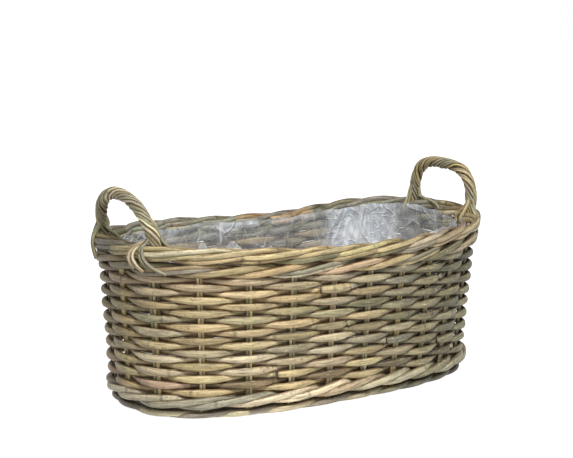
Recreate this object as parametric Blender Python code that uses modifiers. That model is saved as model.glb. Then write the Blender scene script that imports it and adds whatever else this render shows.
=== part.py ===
"""Oval rattan planter basket with two rope handles and a clear plastic liner.

Metres, +Z up. The origin is on the surface that the basket stands on, under its middle.
+X is the long way. Stakes are counted round the wall from the -X end, along the front (-Y) first.
"""

import bmesh
import bpy
import numpy as np
from mathutils import Vector

# Plan of the wall's middle surface: a rounded oval that widens towards the rim
RIM_HALF_LENGTH = 0.262
RIM_HALF_WIDTH = 0.1335
BASE_INSET = 0.015
END_RISE = 0.008
PLAN_ROUNDNESS = 2.64
PLAN_SAMPLES = 1440

GAP = 0.0003

# A rod's six flats lie nearer to its middle than its edges do
FACET = float(np.cos(np.pi / 6))

# Foot, base and stakes
FOOT_DIAMETER = 0.010
FOOT_SWAY = 0.003
FOOT_CUT = 0.0004
STAKE_COUNT = 24
STAKE_DIAMETER = 0.0042
STAKE_DRIFT = 0.024
STAKE_BEND = 0.005
STAKE_END_BELOW_RIM = 0.004
FIRST_CROSS_STAKE = 2
MAT_THICKNESS = 0.0058
MAT_ROD_PITCH = 0.0066
MAT_ROD_CREST = 0.0031
MAT_WEB = 0.0014

# Weave
WEAVER_DIAMETER = 0.0076
ROW_COUNT = 18
ROW_FLAT = 0.22
WALE_DIAMETER = 0.007
BORDER_DIAMETER = 0.009
STRAND_LIFT = 0.58
STRAND_BOW = 1.26
HOLD_MARGIN = 1.16
STRANDS = 3

# Rope handles
HANDLE_RISE = 0.055
HANDLE_LEAN = {"left": 0.016, "right": 0.002}
HANDLE_FULLNESS = {"left": 2.0, "right": 3.0}
CORE_DIAMETER = 0.006
LEG_DEPTH = 0.090
ROPE_DIAMETER = 0.016
ROPE_START = 0.035
ROPE_STEPS = 28
ROPE_WAIST = 0.88
LASHING_DIAMETER = 0.0036
LASHING_DROP_OUTSIDE = 0.030
LASHING_DROP_INSIDE = 0.016

# Liner
LINER_WALL = 0.0005
LINER_CORNER = 0.020
LINER_FOLDS = 30
LINER_FOLD_DEPTH = 0.0062

# Colours of weathered rattan
STRAW = (0.56, 0.45, 0.28)
GREY = (0.36, 0.33, 0.27)
OLIVE = (0.33, 0.32, 0.19)
TAN = (0.45, 0.35, 0.22)

# Sizes that follow from the ones above
HALF_COUNT = STAKE_COUNT // 2
ROW_PITCH = WEAVER_DIAMETER + GAP
WALE_LIFT = STRAND_LIFT * (WALE_DIAMETER + GAP)
WALE_HEIGHT = 2 * WALE_LIFT + WALE_DIAMETER
BORDER_LIFT = STRAND_LIFT * (BORDER_DIAMETER + GAP)
BORDER_HEIGHT = 2 * BORDER_LIFT + BORDER_DIAMETER
FOOT_Z = FACET * FOOT_DIAMETER / 2 - FOOT_CUT
CROSS_STICK_Z = FOOT_Z + FACET * (FOOT_DIAMETER + STAKE_DIAMETER) / 2 + GAP
LONG_STICK_Z = CROSS_STICK_Z + STAKE_DIAMETER + GAP
MAT_Z = LONG_STICK_Z + STAKE_DIAMETER / 2 + GAP
FOOT_WALE_Z = MAT_Z + WALE_DIAMETER / 2 + 3 * GAP
FIRST_ROW_Z = FOOT_WALE_Z + WALE_HEIGHT / 2 + GAP + WEAVER_DIAMETER / 2
LAST_ROW_Z = FIRST_ROW_Z + (ROW_COUNT - 1) * ROW_PITCH
TOP_WALE_Z = LAST_ROW_Z + WEAVER_DIAMETER / 2 + GAP + WALE_HEIGHT / 2
BORDER_Z = TOP_WALE_Z + WALE_HEIGHT / 2 + GAP + BORDER_HEIGHT / 2
RIM_Z = BORDER_Z + BORDER_HEIGHT / 2
PAIR_SPREAD = (STAKE_DIAMETER + GAP) / 2
SINGLE_STAKES = (2, HALF_COUNT - 2, HALF_COUNT + 2, STAKE_COUNT - 2)
LEG_SIDES = {1: 1, HALF_COUNT - 1: -1, HALF_COUNT + 1: 1, STAKE_COUNT - 1: -1}
LEG_ASIDE = PAIR_SPREAD + STAKE_DIAMETER / 2 + 2 * GAP + CORE_DIAMETER / 2
LEG_BOTTOM_Z = RIM_Z - LEG_DEPTH
HANDLE_STAKES = {"left": (1, STAKE_COUNT - 1), "right": (HALF_COUNT - 1, HALF_COUNT + 1)}
LINER_TOP_Z = RIM_Z - BORDER_HEIGHT - GAP


def clear_scene():
    for obj in list(bpy.data.objects):
        bpy.data.objects.remove(obj, do_unlink=True)


def make_collection(name):
    collection = bpy.data.collections.new(name)
    bpy.context.scene.collection.children.link(collection)
    return collection


def make_material(name, colour, roughness, alpha=1.0):
    material = bpy.data.materials.new(name)
    material.use_nodes = True
    shader = material.node_tree.nodes["Principled BSDF"]
    shader.inputs["Base Color"].default_value = (*colour, 1.0)
    shader.inputs["Roughness"].default_value = roughness
    shader.inputs["Metallic"].default_value = 0.0
    shader.inputs["Alpha"].default_value = alpha
    return material


def plan_table(half_length, half_width):
    """Points of a superellipse from the -X end along -Y, and the length along it up to each."""
    turn = np.linspace(0.0, 2.0 * np.pi, PLAN_SAMPLES + 1)
    along, across = -np.cos(turn), -np.sin(turn)
    power = 2.0 / PLAN_ROUNDNESS
    points = np.stack(
        [
            half_length * np.sign(along) * np.abs(along) ** power,
            half_width * np.sign(across) * np.abs(across) ** power,
        ],
        axis=1,
    )
    steps = np.linalg.norm(np.diff(points, axis=0), axis=1)
    return points, np.concatenate([[0.0], np.cumsum(steps)])


BASE_TABLE = plan_table(RIM_HALF_LENGTH - BASE_INSET, RIM_HALF_WIDTH - BASE_INSET)
RIM_TABLE = plan_table(RIM_HALF_LENGTH, RIM_HALF_WIDTH)


def on_plan(table, share):
    points, lengths = table
    distance = (share % 1.0) * lengths[-1]
    return Vector((np.interp(distance, lengths, points[:, 0]), np.interp(distance, lengths, points[:, 1])))


def share_of(stake):
    """Share of the way round the plan at a stake number, which may lie between two stakes."""
    half = stake % STAKE_COUNT
    mirrored = half > HALF_COUNT
    if mirrored:
        half = STAKE_COUNT - half
    drift = STAKE_DRIFT / RIM_TABLE[1][-1] * np.sin(np.pi * half / HALF_COUNT) ** 2
    share = half / STAKE_COUNT + drift
    return 1.0 - share if mirrored else share


def wall_point(stake, height):
    """Middle of the wall at a stake number: a straight line from base to rim. The height is that at
    the middle of the basket, and above the first row the weave rises a little towards both ends."""
    share = share_of(stake)
    low, high = on_plan(BASE_TABLE, share), on_plan(RIM_TABLE, share)
    flat = low.lerp(high, height / RIM_Z)
    above = max(0.0, (height - FIRST_ROW_Z) / (RIM_Z - FIRST_ROW_Z))
    rise = END_RISE * above * (high.x / RIM_HALF_LENGTH) ** 2
    return Vector((flat.x, flat.y, height + rise))


def wall_frame(stake):
    """Unit vectors along the wall, towards the next stake, and out of it."""
    share = share_of(stake)
    ahead = on_plan(RIM_TABLE, share + 0.002) - on_plan(RIM_TABLE, share - 0.002)
    along = Vector((ahead.x, ahead.y, 0.0)).normalized()
    return along, Vector((along.y, -along.x, 0.0))


def wall_place(stake, height, along_by, out_by):
    along, out = wall_frame(stake)
    return wall_point(stake, height) + along * along_by + out * out_by


def stake_spacing(stake):
    return (wall_point(stake + 0.5, RIM_Z) - wall_point(stake - 0.5, RIM_Z)).length


def rod(name, points, diameter, material, collection, cyclic=False, sides_level=1):
    """A round rod along a list of points."""
    curve = bpy.data.curves.new(name, "CURVE")
    curve.dimensions = "3D"
    curve.bevel_depth = diameter / 2
    curve.bevel_resolution = sides_level
    curve.use_fill_caps = True
    curve.twist_mode = "MINIMUM"
    spline = curve.splines.new("POLY")
    spline.points.add(len(points) - 1)
    for target, point in zip(spline.points, points):
        target.co = (*point, 1.0)
    spline.use_cyclic_u = cyclic
    curve.materials.append(material)
    obj = bpy.data.objects.new(name, curve)
    collection.objects.link(obj)
    return obj


def mesh_from_curve(obj):
    """Replaces a curve object by its mesh, with the caps welded to the sides."""
    bpy.context.view_layer.update()
    graph = bpy.context.evaluated_depsgraph_get()
    mesh = bpy.data.meshes.new_from_object(obj.evaluated_get(graph))
    edit = bmesh.new()
    edit.from_mesh(mesh)
    bmesh.ops.remove_doubles(edit, verts=edit.verts, dist=0.00001)
    edit.to_mesh(mesh)
    edit.free()
    name, home, place = obj.name, obj.users_collection[0], obj.matrix_world.copy()
    bpy.data.objects.remove(obj, do_unlink=True)
    solid = bpy.data.objects.new(name, mesh)
    solid.matrix_world = place
    home.objects.link(solid)
    return solid


def cut(obj, cutter, operation="DIFFERENCE"):
    boolean = obj.modifiers.new("cut", "BOOLEAN")
    boolean.operation = operation
    boolean.object = cutter


def hide(obj, cutters):
    for home in list(obj.users_collection):
        home.objects.unlink(obj)
    cutters.objects.link(obj)
    obj.hide_render = True
    obj.display_type = "WIRE"


def build_foot(rattan, parts, cutters):
    """Foot rod that sways in and out under the wall, flattened where it stands."""
    points = []
    for step in range(2 * STAKE_COUNT):
        stake = step / 2
        sway = FOOT_SWAY * (1 if step % 4 in (0, 1) else -1)
        points.append(wall_place(stake, FOOT_Z, 0.0, sway))
    foot = mesh_from_curve(rod("foot_border", points, FOOT_DIAMETER, rattan, parts, cyclic=True))
    bpy.ops.mesh.primitive_cube_add(size=1.0, location=(0.0, 0.0, -FOOT_DIAMETER / 2))
    floor = bpy.context.object
    floor.name = "floor_cutter"
    floor.scale = (3 * RIM_HALF_LENGTH, 3 * RIM_HALF_WIDTH, FOOT_DIAMETER)
    hide(floor, cutters)
    cut(foot, floor)


def pair_spread(stake):
    """Spread along the wall that lays the two rods of a pair side by side where they run under the base."""
    across = 1 if stake % HALF_COUNT in (0, 1, HALF_COUNT - 1) else 0
    along, _ = wall_frame(stake)
    return PAIR_SPREAD / abs(along[across])


def half_stake(stake, side, stick_z):
    """Top and corner of one rod of a pair."""
    spread = side * pair_spread(stake)
    top = wall_place(stake, RIM_Z - STAKE_END_BELOW_RIM, spread, 0.0)
    return top, wall_place(stake, stick_z, spread, 0.0)


def turned_corner(top, foot, inward):
    up = (top - foot).normalized()
    return [foot + up * STAKE_BEND, foot + (up + inward) * 0.3 * STAKE_BEND, foot + inward * STAKE_BEND]


def bent_rod(name, near, far, rattan, parts):
    """A rod down one wall, across the base and up the other, each given as top and corner."""
    across = (far[1] - near[1]).normalized()
    points = [near[0], *turned_corner(*near, across), *turned_corner(*far, -across)[::-1], far[0]]
    rod(name, points, STAKE_DIAMETER, rattan, parts)


def build_stakes(rattan, parts):
    """Doubled stakes. Each rod is one length: up the wall, under the base and up the other wall."""
    pair = ((-1, "a"), (1, "b"))
    for stake in range(FIRST_CROSS_STAKE, HALF_COUNT - FIRST_CROSS_STAKE + 1):
        for side, label in ((0, ""),) if stake in SINGLE_STAKES else pair:
            near = half_stake(stake, side, CROSS_STICK_Z)
            far = half_stake(STAKE_COUNT - stake, -side, CROSS_STICK_Z)
            bent_rod(f"cross_stake_{stake - FIRST_CROSS_STAKE + 1}{label}", near, far, rattan, parts)
    for place, offset in enumerate(range(1 - FIRST_CROSS_STAKE, FIRST_CROSS_STAKE)):
        for side, label in pair:
            near = half_stake(offset % STAKE_COUNT, side, LONG_STICK_Z)
            far = half_stake(HALF_COUNT - offset, -side, LONG_STICK_Z)
            bent_rod(f"long_stake_{place + 1}{label}", near, far, rattan, parts)


def held_rods(stake, height):
    """Rods that the weave holds at a stake: place along the wall and diameter of each."""
    if stake in SINGLE_STAKES:
        return [(0.0, STAKE_DIAMETER)]
    spread = pair_spread(stake)
    rods = [(-spread, STAKE_DIAMETER), (spread, STAKE_DIAMETER)]
    if stake in LEG_SIDES and height > LEG_BOTTOM_Z - ROW_PITCH:
        rods.append((LEG_SIDES[stake] * LEG_ASIDE, CORE_DIAMETER))
    return rods


def middle_of(rods):
    low = min(place - wide / 2 for place, wide in rods)
    high = max(place + wide / 2 for place, wide in rods)
    return (low + high) / 2


def hold_past(rods, diameter, spacing):
    """How far out a strand's turning point has to be for its slopes to clear every rod."""
    middle = middle_of(rods)
    run = spacing / 2 - abs(middle)
    hold = 0.0
    for _ in range(5):
        slant = np.hypot(1.0, hold / run)
        hold = max(
            slant * (wide / 2 + GAP + diameter / 2) / (1 - abs(place - middle) / run) for place, wide in rods
        )
    return HOLD_MARGIN * hold


def strand_reach(stake, height, diameter):
    """How far the strands of a wale or border reach from the wall's middle at a stake."""
    hold = hold_past(held_rods(stake, height), diameter, stake_spacing(stake))
    return max(hold, STRAND_BOW * (diameter + GAP)) + diameter / 2


def widest_reach(height, diameter):
    return max(strand_reach(stake, height, diameter) for stake in range(STAKE_COUNT))


def flat_outline(name, points, thickness, collection):
    """A flat outline with straight sides, filled and given its thickness."""
    curve = bpy.data.curves.new(name, "CURVE")
    curve.dimensions = "2D"
    curve.fill_mode = "BOTH"
    curve.extrude = thickness / 2
    spline = curve.splines.new("POLY")
    spline.points.add(len(points) - 1)
    for target, (x, y) in zip(spline.points, points):
        target.co = (x, y, 0.0, 1.0)
    spline.use_cyclic_u = True
    obj = bpy.data.objects.new(name, curve)
    collection.objects.link(obj)
    return obj


def mat_profile(half_width):
    """Section across the mat: rods side by side, joined by a thin web where they meet."""
    count = round(2 * half_width / MAT_ROD_PITCH)
    upper = []
    for number in range(count):
        middle = (number - (count - 1) / 2) * MAT_ROD_PITCH
        upper.append((middle - MAT_ROD_PITCH / 2, MAT_WEB / 2))
        upper.append((middle - MAT_ROD_CREST / 2, MAT_THICKNESS / 2))
        upper.append((middle + MAT_ROD_CREST / 2, MAT_THICKNESS / 2))
    upper.append((count * MAT_ROD_PITCH / 2, MAT_WEB / 2))
    return upper + [(across, -high) for across, high in upper[::-1]]


def build_mat(rattan, parts, cutters):
    """Woven base mat: rods along the base, cut to the oval inside the foot wale, that lie on the sticks."""
    inset = widest_reach(FOOT_WALE_Z, WALE_DIAMETER) + 2 * GAP
    places = [wall_place(step / 2, MAT_Z, 0.0, -inset) for step in range(2 * STAKE_COUNT)]
    middle_z = MAT_Z + MAT_THICKNESS / 2
    oval = flat_outline("mat_oval", [place[:2] for place in places], 3 * MAT_THICKNESS, parts)
    oval = mesh_from_curve(oval)
    oval.location = (0.0, 0.0, middle_z)
    hide(oval, cutters)
    half_width = max(place[1] for place in places) + MAT_ROD_PITCH
    rods = flat_outline("base_mat", mat_profile(half_width), 2 * RIM_HALF_LENGTH, parts)
    rods.data.materials.append(rattan)
    rods.location = (0.0, 0.0, middle_z)
    rods.rotation_euler = (np.pi / 2, 0.0, np.pi / 2)
    mat = mesh_from_curve(rods)
    cut(mat, oval, "INTERSECT")


def build_rows(rattans, parts):
    """Plain weave: each row passes outside one stake and inside the next, turn about."""
    for row in range(1, ROW_COUNT + 1):
        height = FIRST_ROW_Z + (row - 1) * ROW_PITCH
        points = []
        for stake in range(STAKE_COUNT):
            rods = held_rods(stake, height)
            offset = max(wide for _, wide in rods) / 2 + GAP + WEAVER_DIAMETER / 2
            side = 1 if (stake + row) % 2 else -1
            flat = ROW_FLAT * stake_spacing(stake)
            for end in (-1, 1):
                points.append(wall_place(stake, height, middle_of(rods) + end * flat, side * offset))
        rattan = rattans[row % len(rattans)]
        rod(f"weaver_row_{row:02d}", points, WEAVER_DIAMETER, rattan, parts, cyclic=True)


def build_wale(label, centre_z, diameter, rattan, parts):
    """Three strands twisted round the stakes: outside two, inside one, rising as they go."""
    lift = STRAND_LIFT * (diameter + GAP)
    bow = STRAND_BOW * (diameter + GAP)
    for strand in range(STRANDS):
        points = []
        for step in range(2 * STAKE_COUNT):
            stake = step / 2
            at_stake = step % 2 == 0
            rods = held_rods(int(stake), centre_z)
            hold = hold_past(rods, diameter, stake_spacing(stake))
            phase = (step - 2 * strand) % (2 * STRANDS)
            out_by = (hold, bow, hold, 0.0, -hold, 0.0)[phase]
            up_by = (-lift, 0.0, lift, lift, 0.0, -lift)[phase]
            along_by = middle_of(rods) if at_stake else 0.0
            points.append(wall_place(stake, centre_z + up_by, along_by, out_by))
        rod(f"{label}_{strand + 1}", points, diameter, rattan, parts, cyclic=True)


def leg_place(stake, height, aside=0.0, out_by=0.0):
    return wall_place(stake, height, LEG_SIDES[stake] * (LEG_ASIDE + aside), out_by)


def handle_arch(hand, share):
    """Centre line of a handle above the rim: half a superellipse that leans outwards at its top."""
    first, second = HANDLE_STAKES[hand]
    start, end = leg_place(first, RIM_Z), leg_place(second, RIM_Z)
    middle, half = (start + end) / 2, (start - end) / 2
    outward = Vector((-1.0 if hand == "left" else 1.0, 0.0, 0.0))
    across, up = np.cos(np.pi * share), np.sin(np.pi * share)
    power = 2.0 / HANDLE_FULLNESS[hand]
    rise = Vector((0.0, 0.0, HANDLE_RISE)) + outward * HANDLE_LEAN[hand]
    return middle + half * np.sign(across) * abs(across) ** power + rise * abs(up) ** power


def arch_shares():
    inner = np.linspace(ROPE_START, 1 - ROPE_START, ROPE_STEPS + 1)
    return [0.0, *inner, 1.0]


def build_core(hand, rattan, parts):
    """Core rod of a handle: up out of the weave beside one stake pair and down beside the other."""
    first, second = HANDLE_STAKES[hand]
    arch = [handle_arch(hand, share) for share in arch_shares()]
    points = [leg_place(first, LEG_BOTTOM_Z), *arch, leg_place(second, LEG_BOTTOM_Z)]
    rod(f"handle_{hand}_core", points, CORE_DIAMETER, rattan, parts)


def build_rope(hand, rattan, parts, cutters):
    """Twisted wrapping round the core, from just over one foot of the handle to the other."""
    arch = [handle_arch(hand, share) for share in arch_shares()]
    rope = rod(f"handle_{hand}_rope", arch[1:-1], ROPE_DIAMETER, rattan, parts, sides_level=2)
    for step, point in enumerate(rope.data.splines[0].points):
        point.radius = 1.0 if step % 2 == 0 else ROPE_WAIST
    solid = mesh_from_curve(rope)
    bore = mesh_from_curve(rod(f"rope_bore_{hand}", arch, CORE_DIAMETER + 4 * GAP, rattan, parts))
    hide(bore, cutters)
    cut(solid, bore)


def build_lashings(rattan, parts):
    """One strap over the border at each handle leg, tucked down inside and outside."""
    top = RIM_Z + GAP + LASHING_DIAMETER / 2
    aside = -(CORE_DIAMETER / 2 + 2 * GAP + LASHING_DIAMETER / 2)
    for hand, legs in HANDLE_STAKES.items():
        for stake in legs:
            reach = strand_reach(stake, BORDER_Z, BORDER_DIAMETER) + 2 * GAP + LASHING_DIAMETER / 2
            shoulder = top - 0.5 * LASHING_DIAMETER - 0.16 * reach
            below = strand_reach(stake, TOP_WALE_Z, WALE_DIAMETER) + 2 * GAP + LASHING_DIAMETER / 2
            route = (
                (below, top - LASHING_DROP_OUTSIDE),
                (reach, BORDER_Z - BORDER_LIFT),
                (reach, shoulder),
                (0.8 * reach, top),
                (-0.8 * reach, top),
                (-reach, shoulder),
                (-reach, top - LASHING_DROP_INSIDE),
            )
            points = [leg_place(stake, height, aside, out_by) for out_by, height in route]
            label = "front" if stake < HALF_COUNT else "back"
            rod(f"lashing_{hand}_{label}", points, LASHING_DIAMETER, rattan, parts)


def liner_fold(step, height, floor_z):
    """How far the film stands in from its hem: every other place, more at some folds and near the top."""
    if step % 2 == 0:
        return 0.0
    uneven = 0.75 + 0.25 * np.sin(step) * np.cos(0.37 * step)
    return LINER_FOLD_DEPTH * uneven * (height - floor_z) / (LINER_TOP_Z - floor_z)


def build_liner(film, parts):
    """Loose film tub that stands on the mat in folds, open at the top."""
    floor_z = MAT_Z + MAT_THICKNESS + GAP + LINER_WALL
    offset = widest_reach(TOP_WALE_Z, WALE_DIAMETER) + 2 * GAP
    count = 2 * LINER_FOLDS
    corner = [
        (floor_z + LINER_CORNER * (1 - np.cos(turn)), LINER_CORNER * (1 - np.sin(turn)))
        for turn in (0.0, np.pi / 4, np.pi / 2)
    ]
    levels = [*corner, (LINER_TOP_Z, 0.0)]
    vertices = []
    for height, inset in levels:
        for step in range(count):
            fold = liner_fold(step, height, floor_z)
            vertices.append(wall_place(step * STAKE_COUNT / count, height, 0.0, -offset - inset - fold))
    faces = [tuple(range(count))[::-1]]
    for level in range(len(levels) - 1):
        for step in range(count):
            a, b = level * count + step, level * count + (step + 1) % count
            faces.append((a, b, b + count, a + count))
    mesh = bpy.data.meshes.new("liner")
    mesh.from_pydata(vertices, [], faces)
    edit = bmesh.new()
    edit.from_mesh(mesh)
    bmesh.ops.recalc_face_normals(edit, faces=edit.faces)
    edit.to_mesh(mesh)
    edit.free()
    mesh.materials.append(film)
    liner = bpy.data.objects.new("liner", mesh)
    parts.objects.link(liner)
    wall = liner.modifiers.new("film", "SOLIDIFY")
    wall.thickness = LINER_WALL
    wall.offset = -1.0


def main():
    clear_scene()
    parts = make_collection("rattan_planter_basket")
    cutters = make_collection("cutters")
    straw = make_material("straw_rattan", STRAW, 0.60)
    grey = make_material("grey_rattan", GREY, 0.66)
    olive = make_material("olive_rattan", OLIVE, 0.62)
    tan = make_material("tan_rattan", TAN, 0.62)
    film = make_material("clear_film", (0.85, 0.88, 0.92), 0.12, alpha=0.3)
    build_foot(grey, parts, cutters)
    build_stakes(tan, parts)
    build_mat(grey, parts, cutters)
    build_rows((straw, grey, tan, olive), parts)
    build_wale("foot_wale", FOOT_WALE_Z, WALE_DIAMETER, straw, parts)
    build_wale("top_wale", TOP_WALE_Z, WALE_DIAMETER, tan, parts)
    build_wale("rim_border", BORDER_Z, BORDER_DIAMETER, straw, parts)
    for hand in HANDLE_STAKES:
        build_core(hand, grey, parts)
        build_rope(hand, olive, parts, cutters)
    build_lashings(grey, parts)
    build_liner(film, parts)
    print(f"rim at {RIM_Z * 1000:.1f} mm, rows from {FIRST_ROW_Z * 1000:.1f} to {LAST_ROW_Z * 1000:.1f} mm")


main()
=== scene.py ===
"""Looks of an oval rattan planter basket: woven wall, waled border, rope handles, film liner and studio.

Metres, +Z up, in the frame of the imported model. Stakes are counted round the wall from the -X end,
along the front (-Y) first, and a place on the wall is a stake number, which may lie between two.
"""

import bpy
import numpy as np
from bpy.props import FloatProperty, FloatVectorProperty, IntProperty, PointerProperty
from mathutils import Matrix, Vector


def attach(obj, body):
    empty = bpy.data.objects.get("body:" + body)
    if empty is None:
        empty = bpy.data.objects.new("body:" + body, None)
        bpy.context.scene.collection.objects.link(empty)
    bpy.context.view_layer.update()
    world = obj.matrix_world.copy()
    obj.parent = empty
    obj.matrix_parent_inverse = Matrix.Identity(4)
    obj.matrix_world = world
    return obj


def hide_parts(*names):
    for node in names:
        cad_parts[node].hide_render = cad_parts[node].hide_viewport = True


bl_info = {
    "name": "Rattan planter basket",
    "version": (1, 0, 0),
    "blender": (4, 5, 0),
    "location": "View3D > Sidebar > Basket",
    "description": "Builds the woven rods, handles, liner and studio of a rattan planter basket",
    "category": "Object",
}

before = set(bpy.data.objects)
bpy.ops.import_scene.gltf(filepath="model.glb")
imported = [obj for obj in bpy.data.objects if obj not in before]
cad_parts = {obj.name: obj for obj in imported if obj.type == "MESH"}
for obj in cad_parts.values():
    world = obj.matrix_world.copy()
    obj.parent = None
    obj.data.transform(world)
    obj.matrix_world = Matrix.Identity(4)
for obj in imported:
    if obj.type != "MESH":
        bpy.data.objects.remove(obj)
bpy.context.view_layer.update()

# Sizes of the basket, as the solid model has them
RIM_HALF_LENGTH = 0.262
RIM_HALF_WIDTH = 0.1335
BASE_INSET = 0.015
END_RISE = 0.008
PLAN_ROUNDNESS = 2.64
RIM_Z = 0.2075
GAP = 0.0003
STAKE_COUNT = 24
HALF_COUNT = STAKE_COUNT // 2
STAKE_DRIFT = 0.024
STAKE_RADIUS = 0.0021
ROD_RADIUS = 0.00205
SINGLE_STAKES = (2, 10)
THIN_RADIUS = 0.0018
THIN_ASIDE = 0.0020
FOOT_Z = 0.0050
FOOT_SWAY = 0.0030
FOOT_CLIMB = 0.0009
FOOT_RADIUS = 0.0039
CROSS_STICK_Z = 0.01038
LONG_STICK_Z = 0.01488
MAT_Z = 0.0173
MAT_THICKNESS = 0.0058
MAT_INSET = 0.0128
MAT_ROD_PITCH = 0.0066
MAT_ROD_RADIUS = 0.0030
MAT_WAVE = 0.0006
STICK_PITCH = 0.052
ROW_COUNT = 18
FIRST_ROW_Z = 0.03348
ROW_PITCH = 0.0079
FOOT_WALE_Z = 0.0214
TOP_WALE_Z = 0.17979
BORDER_Z = 0.19765
LEG_ASIDE = 0.00795
LEG_LEVELS = (0.1185, 0.15, 0.18, 0.20)
LEG_ROWS_Z = 0.11
LEG_ROOM = 0.0009
LEG_SIDES = {1: 1, 11: -1, 13: 1, 23: -1}
HANDLE_STAKES = {"left": (1, 23), "right": (11, 13)}
HANDLE_RISE = 0.055
HANDLE_LEAN = {"left": 0.016, "right": 0.002}
CORE_RADIUS = 0.0029
ROPE_RADIUS = 0.0079
ROPE_FOOT = 0.022
ROPE_WAIST = 0.62
HANDLE_FULLNESS = {"left": 2.0, "right": 3.0}
LINER_TOP_Z = 0.1874
LINER_FOLDS = 30
LINER_FOLD_DEPTH = 0.0062
FILM_INSET = 0.0142
FILM_GAP = 0.0008
FILM_POINTS = 1200
FILM_RINGS = 52
CORNER_RADIUS = 0.020
UP = (0.0, 0.0, 1.0)
PHOTO_WIDTH = 573.0

# Lit strip of a weaver, outside which the shadow of the rows beside it and the dark behind the stakes are
# painted: its half height over the rod's, and how far from its stake it narrows to a point
LENS_WIDTH = 0.93
LENS_REACH = 0.93

# Lit strip of a band's strand where it passes in full view; outside it the shade between the strands is
# painted
BAND_LIT_STRIP = 0.80

# Hand-made unevenness of the rim: stake number and how far the rim stands up there, and its width in stakes
RIM_SWAY = ((2.0, 0.0030), (7.0, -0.0030), (14.0, 0.0040), (17.5, -0.0050), (21.0, 0.0010))
SWAY_WIDTH = 1.8

# Ends of the rods in a row: how far two overlap behind a stake, the gap between two that end beside it,
# and the length over which an end tapers, all in stakes. A head stands out from its neighbour and a tail
# stands in, by the first number behind a stake and by the second where it shows, and both are lifted by
# a share of that.
ROD_OVERLAP = 0.34
ROD_GAP = 0.02
END_LENGTH = 0.4
HEAD_OUT = (0.0017, 0.0013)
TAIL_OUT = (-0.0019, 0.0003)
END_LIFT = 0.35

# Hand-made waves: in a row's height and its rods' radius, and in a band's height and its strands' radius
ROW_WAVE = 0.00035
ROD_WAVE = 0.035
BAND_WAVE = 0.0005
STRAND_WAVE = 0.05

# Rings of a weaver and of a foot rod from stake to stake, and of a band's strand from one point of its
# route to the next
ROW_RINGS = 18
FOOT_RINGS = 16
BAND_RINGS = 10

# Knots: their rings' half length along a rod, and how much it swells there
KNOT_REACH = 0.0016
KNOT_SWELL = 0.05

# Grain of the rattan, as waves per metre along the fibre and across it
STREAK_WAVES = (40.0, 620.0, 620.0)
BLOTCH_WAVES = (38.0, 150.0, 150.0)
FLECK_WAVES = (210.0, 420.0, 420.0)

# Share of a rod's light that is lost at a knot, in mould, and to the painted shade outside its lit strip
KNOT_SHADE = 0.58
MOULD_SHADE = 0.62
EDGE_SHADE = 0.92

# Change of tone round the wall, as strength, middle and width in stakes: greener, and darker by painted shade
# round the ends
GREENED = (0.75, 9.9, 3.6)
PAINTED_END_SHADE = ((0.61, 9.5, 3.8), (0.42, 23.65, 1.4))

# Bands: height of the middle, and the route of its strands. The route holds how far they rise as they go
# out, how far out they stand between two stakes and at a stake, and how far they close up along the back.
BAND_ROUTES = {
    "foot_wale": (FOOT_WALE_Z, (0.0040, 0.0092, 0.0080, 0.0)),
    "top_wale": (TOP_WALE_Z, (0.0042, 0.0092, 0.0082, 0.0006)),
    "rim_border": (BORDER_Z, (0.0034, 0.0108, 0.0096, -0.0022)),
}

# Where the bands lie slacker and thicker along the back, as middle and width in stakes, and where the top
# ones have the back's colours, from stake to stake
BACK_REACH = (18.0, 5.0)
BACK_RUN = (12.3, 23.0)

# Light round the wall, as change, middle and width in stakes: of the foot wale, of the bands at the top
# and of the foot border
FOOT_WALE_LIGHT = (0.12, 4.5, 3.0)
TOP_LIGHT = (-0.50, 23.7, 0.8)
FOOT_LIGHT = ((0.15, 4.0, 3.2), (-0.62, 9.8, 3.4))

# How far the strand ends at a handle's foot lie in the rope's surface: at their first point, at the others
TIE_SUNK = (0.0042, 0.0005)

# Strand ends at a handle's foot, as rows of: height over the rim, place aside of the leg away from the
# handle's middle, place out of the wall. All in millimetres.
HOOK_TIES = (
    (
        *((24, -6, 3), (12, -12, 4), (4, -18, 9), (-4, -24, 14.5)),
        *((-14, -26.5, 16.5), (-22, -25, 16), (-28, -21, 14.5)),
    ),
    ((26, -3, 4), (12, -9, 5), (4, -14, 10), (-4, -19, 15), (-14, -21, 16.8), (-24, -17, 16), (-31, -10, 14)),
    ((32, 0, 5), (16, -6, 6), (6, -10, 10), (-4, -11, 15), (-14, -8, 17), (-24, -1, 16), (-33, 14, 12)),
    ((18, -4, 4), (6, -10, 10), (-4, -13, 15.5), (-14, -12, 16.8), (-23, -7, 16), (-28, -1, 14.5)),
)
SPLAY_TIES = (
    ((38, -5, 1), (26, -2, 0), (16, 0, -3), (8, 1, -7), (1, 2, -11.5), (-6, 4, -13.5)),
    ((32, -7, 0), (20, -6, -2), (11, -6, -5), (4, -5, -9), (-3, -4, -13), (-9, -3, -14)),
    ((34, -1, 3), (22, 1, 2), (13, 4, -1), (6, 7, -5), (0, 10, -10), (-6, 13, -13)),
)
SIDE_TIES = (
    ((20, -2, 3), (8, -3, 8), (-2, -4, 13.5), (-14, -5, 16), (-26, -6, 15), (-34, -7, 13)),
    ((18, -6, 3), (6, -7, 8), (-3, -9, 14), (-15, -11, 16), (-26, -13, 15), (-32, -14, 13)),
    ((16, -8, 3), (5, -11, 9), (-4, -14, 14), (-15, -17, 16), (-25, -20, 15), (-31, -21, 13)),
)
SWEEP_TIES = (
    ((30, -3, -2), (16, -8, -3), (8, -16, -5), (3, -26, -8), (-3, -37, -12.5), (-8, -45, -13.5)),
    ((24, -1, -4), (11, -5, -6), (4, -12, -8), (-1, -21, -11), (-6, -30, -13.5), (-10, -36, -13.5)),
)
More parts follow.
